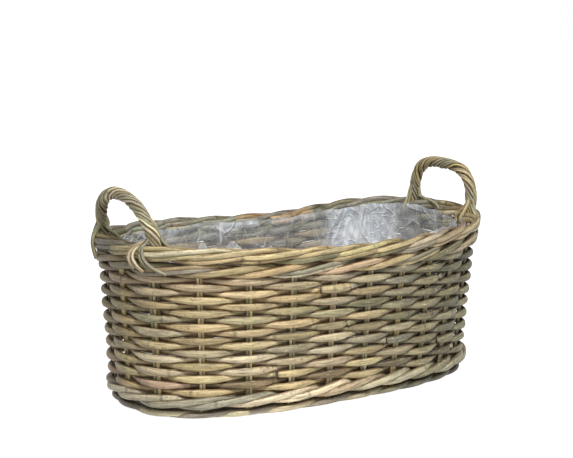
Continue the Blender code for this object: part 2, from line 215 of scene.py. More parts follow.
BORDER_TIES = (
    ((22, -5, 0), (9, -9, -2), (2, -17, -3), (-1, -29, -4), (-5, -43, -6), (-10, -54, -9)),
    ((18, -4, 3), (5, -9, 1), (-1, -18, 0), (-4, -30, -1), (-7, -42, -4), (-11, -50, -8)),
    ((20, 4, -3), (8, 5, -8), (-2, 6, -13.5), (-13, 6, -15), (-19, 6, -14)),
    ((22, 7, -2), (9, 9, -7), (-1, 11, -13), (-12, 12, -15), (-18, 12, -14)),
)
HUG_TIES = (
    ((24, 3, 1), (9, 5, 1), (2, 10, 3), (-4, 18, 6), (-10, 27, 8), (-16, 35, 7)),
    ((22, 3, -2), (8, 6, -6), (0, 10, -11), (-8, 16, -14), (-14, 22, -13)),
    ((18, -4, -2), (8, -10, -5), (0, -16, -10), (-10, -19, -14), (-18, -19, -13)),
    ((20, 4, 1), (7, 8, 3), (1, 14, 6), (-5, 22, 9), (-11, 31, 9.5), (-16, 38, 7)),
)
TIES = {1: HOOK_TIES + SPLAY_TIES, 23: SIDE_TIES + SWEEP_TIES, 11: HUG_TIES, 13: BORDER_TIES + SIDE_TIES[:1]}


def linear(red, green, blue):
    """Linear colour of a screen colour given from 0 to 255."""
    shown = np.array([red, green, blue]) / 255.0
    return np.where(shown <= 0.04045, shown / 12.92, ((shown + 0.055) / 1.055) ** 2.4)


STRAW = linear(212, 192, 142)
PALE = linear(226, 212, 178)
TAN = linear(182, 160, 118)
BLUSH = linear(206, 180, 146)
GREY = linear(160, 153, 134)
OLIVE = linear(146, 138, 102)
BARK = linear(142, 122, 90)
MOSS = linear(112, 108, 80)
SAGE = linear(160, 158, 126)
AMBER = linear(208, 182, 142)
RUST = linear(200, 172, 130)
LICHEN = linear(157, 158, 140)

# Shares of the rods' colours in each part of the basket
WALL_RODS = (
    *((STRAW, 0.22), (PALE, 0.20), (TAN, 0.15), (BLUSH, 0.12)),
    *((GREY, 0.14), (OLIVE, 0.12), (BARK, 0.05)),
)
BAND_RODS = ((STRAW, 0.22), (TAN, 0.17), (GREY, 0.28), (OLIVE, 0.16), (BLUSH, 0.07), (PALE, 0.10))
FOOT_RODS = ((GREY, 0.24), (PALE, 0.40), (TAN, 0.12), (STRAW, 0.18), (BLUSH, 0.06))
BACK_RODS = ((GREY, 0.15), (LICHEN, 0.55), (SAGE, 0.20), (MOSS, 0.10))
ROPE_RODS = {
    "left": ((SAGE, 0.52), (GREY, 0.28), (OLIVE, 0.08), (PALE, 0.12)),
    "right": ((SAGE, 0.30), (TAN, 0.18), (STRAW, 0.22), (GREY, 0.15), (AMBER, 0.15)),
}
ROPE_LIGHT = {"left": 1.24, "right": 1.42}
BACK_LIGHT = 1.18
STAKE_LIGHT = 1.34
TIE_RODS = ((STRAW, 0.30), (PALE, 0.45), (SAGE, 0.15), (GREY, 0.10))
STAKE_RODS = ((PALE, 0.25), (STRAW, 0.55), (SAGE, 0.20))

# Stretches of the border whose upper strands have a colour of their own: from stake, to stake, colour
SPECIAL_RUNS = ((7.5, 9.3, AMBER), (16.15, 18.6, RUST), (15.7, 16.15, MOSS))


def plan_table(half_length, half_width, samples=1440):
    """Superellipse |x/a|^n + |y/b|^n = 1 from the -X end along -Y, and the length along it."""
    turn = np.linspace(0.0, 2.0 * np.pi, samples + 1)
    along, across = -np.cos(turn), -np.sin(turn)
    power = 2.0 / PLAN_ROUNDNESS
    points = np.stack(
        [
            half_length * np.sign(along) * np.abs(along) ** power,
            half_width * np.sign(across) * np.abs(across) ** power,
        ],
        axis=1,
    )
    steps = np.linalg.norm(np.diff(points, axis=0), axis=1)
    return points, np.concatenate([[0.0], np.cumsum(steps)])


BASE_TABLE = plan_table(RIM_HALF_LENGTH - BASE_INSET, RIM_HALF_WIDTH - BASE_INSET)
RIM_TABLE = plan_table(RIM_HALF_LENGTH, RIM_HALF_WIDTH)
PERIMETER = float(RIM_TABLE[1][-1])


def on_plan(table, share):
    """Point of a plan at a share of the way round, straight between the points of its table."""
    points, lengths = table
    distance = np.mod(share, 1.0) * lengths[-1]
    return np.stack([np.interp(distance, lengths, points[:, axis]) for axis in (0, 1)], axis=-1)


def share_of(stake):
    """Share of the way round at a stake: even steps moved on by drift * sin^2, the same on both halves."""
    half = np.mod(stake, STAKE_COUNT)
    mirrored = half > HALF_COUNT
    half = np.where(mirrored, STAKE_COUNT - half, half)
    share = half / STAKE_COUNT + STAKE_DRIFT / PERIMETER * np.sin(np.pi * half / HALF_COUNT) ** 2
    return np.where(mirrored, 1.0 - share, share)


def wall_frame(stake):
    """Unit vectors along the wall and out of it: the rim's chord over a short step, turned."""
    share, step = share_of(stake), 0.002
    chord = on_plan(RIM_TABLE, share + step) - on_plan(RIM_TABLE, share - step)
    chord = chord / np.linalg.norm(chord, axis=-1, keepdims=True)
    level = np.zeros(chord.shape[:-1] + (1,))
    along = np.concatenate([chord, level], axis=-1)
    out = np.concatenate([chord[..., 1:], -chord[..., :1], level], axis=-1)
    return along, out


def bump_at(stake, middle, width):
    """Hill exp(-(d / width)^2) round a stake number, where d is the shorter way round the basket."""
    away = np.abs(np.mod(stake - middle + HALF_COUNT, STAKE_COUNT) - HALF_COUNT)
    return np.exp(-((away / width) ** 2))


def wall(stake, height, along_by=0.0, out_by=0.0):
    """Place on the wall: base and rim plans joined by a straight line, moved along and outwards. Above
    the first row it rises towards the ends by the square of x, and by the unevenness of the rim."""
    stake, height, along_by, out_by = np.broadcast_arrays(
        *(np.asarray(value, float) for value in (stake, height, along_by, out_by))
    )
    share = share_of(stake)
    low, high = on_plan(BASE_TABLE, share), on_plan(RIM_TABLE, share)
    flat = low + (high - low) * (height / RIM_Z)[..., None]
    along, out = wall_frame(stake)
    above = np.maximum(0.0, (height - FIRST_ROW_Z) / (RIM_Z - FIRST_ROW_Z))
    uneven = sum(reach * bump_at(stake, middle, SWAY_WIDTH) for middle, reach in RIM_SWAY)
    rise = above * (END_RISE * (high[..., 0] / RIM_HALF_LENGTH) ** 2 + uneven)
    place = np.concatenate([flat, (height + rise)[..., None]], axis=-1)
    return place + along * along_by[..., None] + out * out_by[..., None]


def unit(vectors):
    """Vectors divided by their own lengths."""
    return vectors / np.maximum(np.linalg.norm(vectors, axis=-1, keepdims=True), 1e-12)


def spline(points, per_span, closed=False):
    """Catmull-Rom curve: each span is the cubic through two points with the slopes of their neighbours."""
    points = np.asarray(points, float)
    if closed:
        before, after, beyond = np.roll(points, 1, 0), np.roll(points, -1, 0), np.roll(points, -2, 0)
        start = points
    else:
        padded = np.concatenate([2 * points[:1] - points[1:2], points, 2 * points[-1:] - points[-2:-1]])
        before, start, after, beyond = padded[:-3], padded[1:-2], padded[2:-1], padded[3:]
    t = (np.arange(per_span) / per_span)[None, :, None]
    p0, p1, p2, p3 = (part[:, None, :] for part in (before, start, after, beyond))
    curve = 0.5 * (
        2 * p1 + (p2 - p0) * t + (2 * p0 - 5 * p1 + 4 * p2 - p3) * t**2 + (3 * p1 - p0 - 3 * p2 + p3) * t**3
    )
    curve = curve.reshape(-1, points.shape[1])
    return curve if closed else np.concatenate([curve, points[-1:]])


def run_length(path):
    """Length along a path to each of its points: the running sum of its steps."""
    steps = np.linalg.norm(np.diff(path, axis=0), axis=1)
    return np.concatenate([[0.0], np.cumsum(steps)])


def directions(path, reference, closed):
    """Two directions across a path: its side is the tangent crossed with the reference, and its rise is
    the side crossed with the tangent."""
    steps = np.roll(path, -1, 0) - np.roll(path, 1, 0) if closed else np.gradient(path, axis=0)
    tangent = unit(steps)
    side = unit(np.cross(tangent, np.broadcast_to(reference, path.shape)))
    return side, np.cross(side, tangent)


def outside_strip(angle, facing, clean, rings):
    """How far each point of a tube lies outside the lit strip of its face, where shade is painted:
    |sin(a - facing)| - width, with one width for the outer face and one for the inner. The lower flank's
    strip is a tenth less, as painted shade on the side away from the light above."""
    high, outer = np.sin(angle - facing), np.cos(angle - facing) > -0.01
    strip = np.where(outer[None], *(np.broadcast_to(width, rings)[:, None] for width in clean))
    return np.abs(high)[None] + 0.10 * np.maximum(-high, 0.0)[None] - strip


def wander(rng, places, reach, waves=5, period=STAKE_COUNT):
    """Smooth random wave that closes on itself: a few sines of whole numbers of turns."""
    turns = rng.integers(1, waves * 3, waves)
    phases = rng.uniform(0, 2 * np.pi, waves)
    angles = 2 * np.pi * np.multiply.outer(np.asarray(places) / period, turns) + phases
    return reach * np.sin(angles).sum(-1) / np.sqrt(waves)


def pick(rng, rods, count):
    """Random colours from a list of (colour, share), each a little lighter or darker."""
    shares = np.array([share for _, share in rods])
    chosen = rng.choice(len(rods), size=count, p=shares / shares.sum())
    colours = np.array([colour for colour, _ in rods])[chosen]
    return colours * rng.uniform(0.82, 1.12, (count, 1)) * rng.uniform(0.96, 1.04, (count, 3))


class RodBundle:
    """Rods that make up one piece, with each point's colour, place on its fibre and marks.

    The marks are: how much painted shade the point gets for lying deep in the weave, how near it is
    to a knot ring, and whether it is on a cut end.
    """

    def __init__(self, seed):
        """Starts empty, with random draws of its own."""
        self.rng = np.random.default_rng(seed)
        self.points, self.quads, self.corners = [], [], []
        self.fibres, self.tones, self.marks, self.painted_shades = [], [], [], []
        self.count = 0

    def add(
        self, path, radius, tone, reference, sides=12, closed=False,
        depth_shade=0.0, flat=1.0, knots=0.007, facing=0.0, clean=(0.84, 0.84),
    ):
        """Tube round a path: each ring point is path + r (cos a * side + flat * sin a * rise). The radius
        swells a little at its knots, whose number is given per millimetre."""
        path = np.asarray(path, float)
        rings = len(path)
        side, rise = directions(path, reference, closed)
        length = run_length(path)
        knot = self.knot_rings(length, knots * 1000)
        radius = np.broadcast_to(radius, rings) * (1 + KNOT_SWELL * knot)
        angle = 2 * np.pi * np.arange(sides) / sides
        tall = np.broadcast_to(flat, rings)[:, None, None]
        cos, sin = np.cos(angle)[None, :, None], np.sin(angle)[None, :, None] * tall
        grid = path[:, None] + radius[:, None, None] * (cos * side[:, None] + sin * rise[:, None])
        along = np.broadcast_to(length[:, None], (rings, sides))
        across = [radius[:, None] * turn(angle)[None] for turn in (np.cos, np.sin)]
        fibre = np.stack([along, *across], axis=-1) + self.rng.uniform(0, 40, 3)
        tone = np.broadcast_to(np.atleast_2d(tone), (rings, 3))
        # Painted shade: how far each point lies outside the lit strip of its face
        edge = outside_strip(angle, facing, clean, rings)
        # The first mark is the painted shade of a point that lies deep in the weave
        marks = [np.full(edge.shape, depth_shade), np.broadcast_to(knot[:, None], edge.shape), np.zeros(edge.shape)]
        index = np.arange(rings * sides).reshape(rings, sides) + self.count
        ahead = np.roll(index, -1, 0) if closed else index[1:]
        here = index if closed else index[:-1]
        quads = np.stack([here, ahead, np.roll(ahead, -1, 1), np.roll(here, -1, 1)], axis=-1)
        self.points.append(grid.reshape(-1, 3))
        self.quads.append(quads.reshape(-1, 4))
        self.fibres.append(fibre.reshape(-1, 3))
        self.tones.append(np.repeat(tone, sides, axis=0))
        self.marks.append(np.stack(marks, axis=-1).reshape(-1, 3))
        self.painted_shades.append(edge.ravel())
        self.count += rings * sides
        for end in () if closed else (0, -1):
            self.close_end(path[end], index[end], fibre[end], tone[end], depth_shade, end == -1)

    def knot_rings(self, length, per_metre):
        """How near each ring is to a knot: hills exp(-(d / reach)^2) at random places along the rod, by
        their mean number to the metre."""
        knot = np.zeros(len(length))
        for place in self.rng.uniform(0, length[-1], self.rng.poisson(length[-1] * per_metre)):
            knot = np.maximum(knot, np.exp(-(((length - place) / KNOT_REACH) ** 2)))
        return knot

    def close_end(self, middle, ring, fibre, tone, depth_shade, last):
        """Cut end: a fan from the middle of the rod to its last ring."""
        hub = self.count
        self.points.append(np.asarray(middle)[None])
        self.fibres.append(fibre.mean(0)[None])
        self.tones.append(np.asarray(tone)[None] * 1.1)
        self.marks.append(np.array([[depth_shade, 0.0, 1.0]]))
        self.painted_shades.append(np.array([-0.5]))
        following = np.roll(ring, -1)
        pair = (following, ring) if last else (ring, following)
        self.corners.append(np.stack([np.full(len(ring), hub), *pair], axis=-1))
        self.count += 1

    def put(self, node, material, slot):
        """Adds the rods as one piece, in place of their node of the solid model."""
        faces = np.concatenate(self.quads).tolist()
        if self.corners:
            faces += np.concatenate(self.corners).tolist()
        tones = np.concatenate(self.tones)
        fields = {
            "tone": ("FLOAT_COLOR", "color", np.concatenate([tones, np.ones((len(tones), 1))], axis=1)),
            "fibre": ("FLOAT_VECTOR", "vector", np.concatenate(self.fibres)),
            "marks": ("FLOAT_VECTOR", "vector", np.concatenate(self.marks)),
            "edge": ("FLOAT", "value", np.concatenate(self.painted_shades)),
        }
        put(f"rods_{node}", surface(node, np.concatenate(self.points), faces, fields), material, slot, node)


def surface(name, points, faces, fields):
    """Smooth mesh of the given points and faces, with its fields as (kind, part, values) at the points."""
    mesh = bpy.data.meshes.new(name)
    mesh.from_pydata(points.tolist(), [], faces)
    mesh.shade_smooth()
    for field, (kind, part, values) in fields.items():
        mesh.attributes.new(field, kind, "POINT").data.foreach_set(part, values.astype(np.float32).ravel())
    mesh.update()
    return mesh


def put(name, mesh, material, slot, node):
    """Adds a finished piece in place of its node of the solid model."""
    mesh.materials.append(material)
    piece = bpy.data.objects.new(name, mesh)
    bpy.context.scene.collection.objects.link(piece)
    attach(piece, "root")
    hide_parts(node)
    return piece


class Link:
    """An output of a material's node. Sums and products of links add Math nodes."""

    def __init__(self, graph, socket):
        self.graph = graph
        self.socket = socket

    def math(self, operation, *terms):
        """Link to the result of a Math node on numbers or links."""
        return self.graph.add("ShaderNodeMath", {"operation": operation}, dict(enumerate(terms)))

    def __add__(self, other):
        return self.math("ADD", self, other)

    def __sub__(self, other):
        return self.math("SUBTRACT", self, other)

    def __rsub__(self, other):
        return self.math("SUBTRACT", other, self)

    def __mul__(self, other):
        return self.math("MULTIPLY", self, other)

    def __pow__(self, other):
        return self.math("POWER", self, other)

    __radd__ = __add__
    __rmul__ = __mul__


# Places of a Mix node's sockets for its factor, its two colours and the mixed colour
FACTOR_SOCKET, FIRST_SOCKET, SECOND_SOCKET, MIXED_SOCKET = 0, 6, 7, 2


class Graph:
    """Nodes of one material or of the world."""

    def __init__(self, owner):
        """Starts the owner's node tree empty."""
        owner.use_nodes = True
        self.tree = owner.node_tree
        self.tree.nodes.clear()

    def add(self, kind, settings=(), inputs=(), output=0):
        """Adds a node, gives it its settings, then its inputs as numbers or links, and links its output."""
        node = self.tree.nodes.new(kind)
        for name, value in dict(settings).items():
            if name == "stops":
                self.set_stops(node.color_ramp, value)
            else:
                setattr(node, name, value)
        for name, value in dict(inputs).items():
            if isinstance(value, Link):
                self.tree.links.new(value.socket, node.inputs[name])
            else:
                node.inputs[name].default_value = value
        return Link(self, node.outputs[output]) if len(node.outputs) else None

    def set_stops(self, ramp, stops):
        """Gives a colour ramp its stops, each a place and a grey level."""
        while len(ramp.elements) < len(stops):
            ramp.elements.new(0.5)
        for element, (place, value) in zip(ramp.elements, stops):
            element.position = place
            element.color = (value, value, value, 1.0)

    def ramp(self, factor, *stops):
        """Colour ramp through stops of (place, grey level)."""
        return self.add("ShaderNodeValToRGB", {"stops": stops}, {0: factor})

    def noise(self, vector, scale, detail=3.0, roughness=0.55, distortion=0.0):
        """Smooth noise of the given number of waves per unit of the vector."""
        inputs = {"Vector": vector, "Scale": scale, "Detail": detail, "Roughness": roughness}
        return self.add("ShaderNodeTexNoise", {}, {**inputs, "Distortion": distortion})

    def stretch(self, vector, factors):
        """Vector multiplied axis by axis."""
        return self.add("ShaderNodeVectorMath", {"operation": "MULTIPLY"}, {0: vector, 1: factors})

    def field(self, name, output="Color"):
        """Values of one of the mesh's own fields."""
        return self.add("ShaderNodeAttribute", {"attribute_name": name}, output=output)

    def parts(self, vector):
        """Three numbers of a vector."""
        node = self.add("ShaderNodeSeparateXYZ", {}, {0: vector}).socket.node
        return [Link(self, socket) for socket in node.outputs]

    def crease_lines(self, vector, scale, width):
        """Thin curved lines, 1 where a smooth noise is half way between its extremes."""
        bent = self.noise(vector, scale, 1.0, 0.4, 0.7)
        return self.ramp(bent, (0.5 - width, 0.0), (0.5, 1.0), (0.5 + width, 0.0))

    def mix(self, factor, first, second, blend="MIX"):
        """First colour blended towards the second by the factor, through the Mix node's colour sockets."""
        settings = {"data_type": "RGBA", "blend_type": blend}
        inputs = {FACTOR_SOCKET: factor, FIRST_SOCKET: first, SECOND_SOCKET: second}
        return self.add("ShaderNodeMix", settings, inputs, MIXED_SOCKET)

    def bump(self, height, strength, distance):
        """Normal that is tilted by the slope of a height."""
        inputs = {"Strength": strength, "Distance": distance, "Height": height}
        return self.add("ShaderNodeBump", {}, inputs)

    def close(self, shader, kind="Material"):
        """Ends the graph of a material or a world with its output."""
        self.add(f"ShaderNodeOutput{kind}", {}, {"Surface": shader})


def colour(rgb):
    """Four numbers of a colour socket, without transparency."""
    return (float(rgb[0]), float(rgb[1]), float(rgb[2]), 1.0)


def rattan_material(name, looks):
    """Weathered rattan: each rod's own colour, streaked along its fibre, blotched, spotted with pale
    flecks of bark on its fibre lines, which are also painted highlights, and with mould, ringed at its
    knots, and with painted shade where it lies deep in the weave or outside its lit strip."""
    material = bpy.data.materials.new(name)
    graph = Graph(material)
    fibre = graph.field("fibre", "Vector")
    # The first mark is the painted shade of what lies deep in the weave
    deep, knot, cut = graph.parts(graph.field("marks", "Vector"))
    streak = graph.noise(graph.stretch(fibre, STREAK_WAVES), 1.0, 4.0, 0.6)
    blotch = graph.noise(graph.stretch(fibre, BLOTCH_WAVES), 1.0, 3.0, 0.6)
    fleck = graph.noise(graph.stretch(fibre, FLECK_WAVES), 1.0, 2.0)
    # Painted shade outside the lit strip, with a ragged edge
    ragged = graph.field("edge", "Fac") + (fleck - 0.5) * 0.30
    edge = graph.ramp(ragged, (0.0, 0.0), (0.08, 1.0), (0.30, 0.9), (0.60, 0.62))
    line = graph.ramp(streak, (0.34, 0.0), (0.64, 1.0))
    patch = graph.ramp(blotch, (0.32, 0.0), (0.68, 1.0))
    mould = graph.ramp(fleck, (0.59, 0.0), (0.66, 1.0)) * patch
    # Pale flecks on the fibre lines, which also stand in for highlights
    pale_fleck_highlight = graph.ramp(fleck, (0.32, 1.0), (0.38, 0.0)) * line
    light = (line - 0.50) * looks.streaks + (patch - 0.55) * looks.blotches + 1.0
    light = light * (1.0 - KNOT_SHADE * knot) * (1.0 - MOULD_SHADE * mould)
    tone = graph.mix(1.0, graph.field("tone"), light, "MULTIPLY")
    tone = graph.mix((blotch - 0.42) * 0.9, tone, colour(BARK))
    tone = graph.mix(pale_fleck_highlight * 0.6, tone, colour(PALE))
    tone = graph.mix(cut * 0.55, tone, colour(PALE))
    # Painted shade: the tone times the shade tint, for what lies deep or outside the lit strip
    shaded = graph.mix(1.0, tone, colour(looks.painted_shade_tint), "MULTIPLY")
    dark = 1.0 - (1.0 - deep) * (1.0 - EDGE_SHADE * edge)
    inputs = {
        "Base Color": graph.mix(dark, tone, shaded),
        "Roughness": 0.40 + 0.25 * blotch,
        "Normal": graph.bump(streak + knot * 1.5, 0.45, 0.0008),
        "IOR": 1.45,
    }
    graph.close(graph.add("ShaderNodeBsdfPrincipled", {}, inputs))
    return material


def number(name, description, default, **limits):
    """Setting that is one number, with its unit or limits."""
    return FloatProperty(name=name, description=description, default=default, **limits)


def tint(name, description, default):
    """Setting of a colour."""
    looks = {"subtype": "COLOR", "default": default, "min": 0.0, "max": 1.0}
    return FloatVectorProperty(name=name, description=description, **looks)


class RattanLooks(bpy.types.PropertyGroup):
    """Surface of the rattan rods."""

    streaks: number("Streaks", "Contrast of the fibre lines", 0.85, min=0.0, max=2.0)
    blotches: number("Blotches", "Contrast of the weathered patches", 0.42, min=0.0, max=2.0)
    # Painted shade: the colour that multiplies the rattan where it lies deep in the weave or outside its lit
    # strip
    painted_shade_tint: tint("Depth tint", "Colour that multiplies what lies deep in the weave", (0.40, 0.31, 0.25))


class WeaveSizes(bpy.types.PropertyGroup):
    """Rods of the wall."""

    weaver_radius: number("Weaver radius", "Mean radius of a weaver", 0.0042, unit="LENGTH")
    swing: number("Swing", "How far a weaver passes outside a stake", 0.0061, unit="LENGTH")
    wale_radius: number("Wale radius", "Radius of a wale's strands", 0.0040, unit="LENGTH")
    border_radius: number("Border radius", "Radius of the border's strands", 0.0048, unit="LENGTH")
    seed: IntProperty(name="Seed", description="Order of the rods", default=7, min=0)


class HandleSizes(bpy.types.PropertyGroup):
    """Rope handles."""

    strands: IntProperty(name="Strands", description="Strands in a handle's rope", default=9, min=3)
    strand_radius: number("Strand radius", "Radius of one strand", 0.0021, unit="LENGTH")
    pitch: number("Pitch", "Length of one turn of the rope", 0.074, unit="LENGTH")


class LinerLooks(bpy.types.PropertyGroup):
    """Film that lines the basket."""

    haze: tint("Haze", "Colour of a single film", (0.80, 0.83, 0.86))
    milk: tint("Milk", "Colour of doubled film", (0.72, 0.77, 0.84))
    folds: IntProperty(name="Creases", description="Long creases round the wall", default=90, min=0)
    hem: number("Hem", "How far the film stands over the top wale", 0.010, unit="LENGTH")


def beside(path, turn, reach):
    """Closed path moved sideways by a fixed reach: up where the turn is 0, outwards where it is pi / 2."""
    side, rise = directions(path, UP, True)
    turn = np.broadcast_to(turn, len(path))[:, None]
    return path + reach * (np.cos(turn) * rise + np.sin(turn) * side)


def weathered(tone, stake, share):
    """Tone of a rod along the wall: blended towards green of its own lightness round the +X end, and
    times 1 - hill round both ends, which is painted shade, by a share of the full change."""
    green = tone.mean(axis=-1, keepdims=True) * SAGE / SAGE.mean()
    strength, middle, width = GREENED
    lean = np.minimum(share * strength * bump_at(stake, middle, width), 0.9)[:, None]
    # Painted shade round both ends of the basket
    dim = (share * sum(loss * bump_at(stake, place, reach) for loss, place, reach in PAINTED_END_SHADE))[:, None]
    return (tone * (1 - lean) + green * lean) * (1 - np.minimum(dim, 0.66))


def lit(stake, *changes):
    """Factor on the light along the wall: the product of 1 + change * hill."""
    light = 1.0
    for change, middle, width in changes:
        light = light * (1 + change * bump_at(stake, middle, width))
    return light[:, None]


def leg_swell(stake, height):
    """Share of the extra room that the weave leaves for the handles' legs: a hill at each leg, in the
    rows beside it."""
    swell = sum(bump_at(stake, leg + 0.12 * side, 0.28) for leg, side in LEG_SIDES.items())
    return swell * (height > LEG_ROWS_Z)


class BASKET_OT_wall(bpy.types.Operator):
    """Weaves the rows of the wall."""

    bl_idname = "basket.wall"
    bl_label = "Weave wall"

    def execute(self, context):
        """Rows from the foot up, each with random draws of its own."""
        sizes, looks = context.scene.basket_weave, context.scene.basket_rattan
        material = rattan_material("weaver_rattan", looks)
        slots = ("straw", "grey", "tan", "olive")
        for row in range(1, ROW_COUNT + 1):
            bundle = RodBundle(sizes.seed * 1000 + row)
            self.weave(bundle, row, sizes)
            bundle.put(f"weaver_row_{row:02d}", material, slots[row % 4])
        return {"FINISHED"}

    def joints(self, rng, row):
        """Stake numbers where one rod ends and the next begins. Most lie behind a stake, where both ends
        overlap; a few lie beside a stake on the outside, where a blunt end shows."""
        count = int(rng.integers(3, 6))
        places = np.sort(rng.choice(HALF_COUNT, count, replace=False)) * 2.0 + row % 2
        shown = rng.random(count) < 0.22
        places = places + np.where(shown, rng.choice([0.62, -0.62], count), 0.0)
        return places, shown

    def weave(self, bundle, row, sizes):
        """Rods end to end round one row. A rod's place in the weave is w = cos(pi (stake + row + 1)), and
        its section is 1.34 - 0.4 (1 - |w|)^1.25 times as high as wide. Shade is painted outside its lit
        strip, which is b (1 - (d / reach)^1.6) high at a distance d from the stake that it passes."""
        rng = bundle.rng
        places, shown = self.joints(rng, row)
        following = np.append(places[1:], places[0] + STAKE_COUNT)
        tones = pick(rng, WALL_RODS, 2 * len(places))
        for rod in range(len(places)):
            start = places[rod] + (ROD_GAP if shown[rod] else -ROD_OVERLAP)
            end = following[rod] + (-ROD_GAP if shown[(rod + 1) % len(places)] else ROD_OVERLAP)
            stake = np.linspace(start, end, max(int((end - start) * ROW_RINGS), 12))
            wave = np.cos(np.pi * (stake + row + 1))
            path, radius = self.rod_path(rng, row, stake, wave, int(shown[rod]), sizes)
            tone = self.rod_tone(rng, stake, *tones[2 * rod : 2 * rod + 2])
            away = np.abs(np.mod(stake + row, 2.0) - 1.0)
            # Lit strip of the rod; above and below it the shadow of the neighbouring rows is painted
            clean = [LENS_WIDTH * (1 - (side / LENS_REACH) ** 1.6) for side in (away, 1 - away)]
            tall = 1.34 - 0.40 * (1 - np.abs(wave)) ** 1.25
            bundle.add(path, radius, tone, UP, sides=16, flat=tall, clean=clean)

    def rod_path(self, rng, row, stake, wave, shown, sizes):
        """Path and radius of one rod. It swings by w (1.12 - 0.12 w^2), so that it passes outside one stake
        and inside the next, is 12 % thinner outside than between them, and ends thinner where it stands
        aside of its neighbour."""
        level = FIRST_ROW_Z + (row - 1) * ROW_PITCH
        behind, ahead = stake - stake[0], stake[-1] - stake
        swing = wave * (1.12 - 0.12 * wave**2)
        reach = sizes.swing + LEG_ROOM * leg_swell(stake, level)
        head = np.clip(1 - behind / END_LENGTH, 0.0, 1.0) * HEAD_OUT[shown]
        tail = np.clip(1 - ahead / END_LENGTH, 0.0, 1.0) * TAIL_OUT[shown]
        height = level + wander(rng, stake, ROW_WAVE) + 0.0002 * rng.standard_normal()
        height = height + END_LIFT * (head + tail)
        thick = sizes.weaver_radius * rng.uniform(0.94, 1.07)
        slim = np.minimum(1.0, 0.72 + np.minimum(behind, ahead) * 0.9)
        radius = thick * (1 - 0.12 * swing) * np.where(np.abs(head + tail) > 0.0014, slim, 1.0)
        radius = radius * (1 + wander(rng, stake, ROD_WAVE))
        return wall(stake, height, 0.0, swing * reach + head + tail), radius

    def rod_tone(self, rng, stake, first, second):
        """Tone along a rod: its first colour, which turns towards the second and back by a slow sine."""
        blend = 0.5 + 0.5 * np.sin(stake * rng.uniform(0.35, 0.9) + rng.uniform(0, 6))[:, None]
        tone = first * (1 - blend) + (0.6 * second + 0.4 * first) * blend
        # Greener round the +X end, with painted shade round both ends
        return weathered(tone, stake, 1.0)


def strand_path(centre_z, strand, lift, bow, hold, closing):
    """One strand of a three-strand wale: over two stakes outside, behind one, rising as it goes out.
    Along the back it moves up by the closing, towards its neighbour."""
    step = np.arange(2 * STAKE_COUNT)
    phase = (step - 2 * strand) % 6
    out_by = np.array([hold, bow, hold, 0.0, -hold, 0.0])[phase]
    stake = step / 2
    back = bump_at(stake, *BACK_REACH)
    up_by = np.array([-lift, 0.0, lift, lift, 0.0, -lift])[phase] * (1 - 0.35 * back) + closing * back
    out_by = out_by * (1 + 0.12 * leg_swell(stake, centre_z))
    return spline(wall(stake, centre_z + up_by, 0.0, out_by), BAND_RINGS, closed=True)


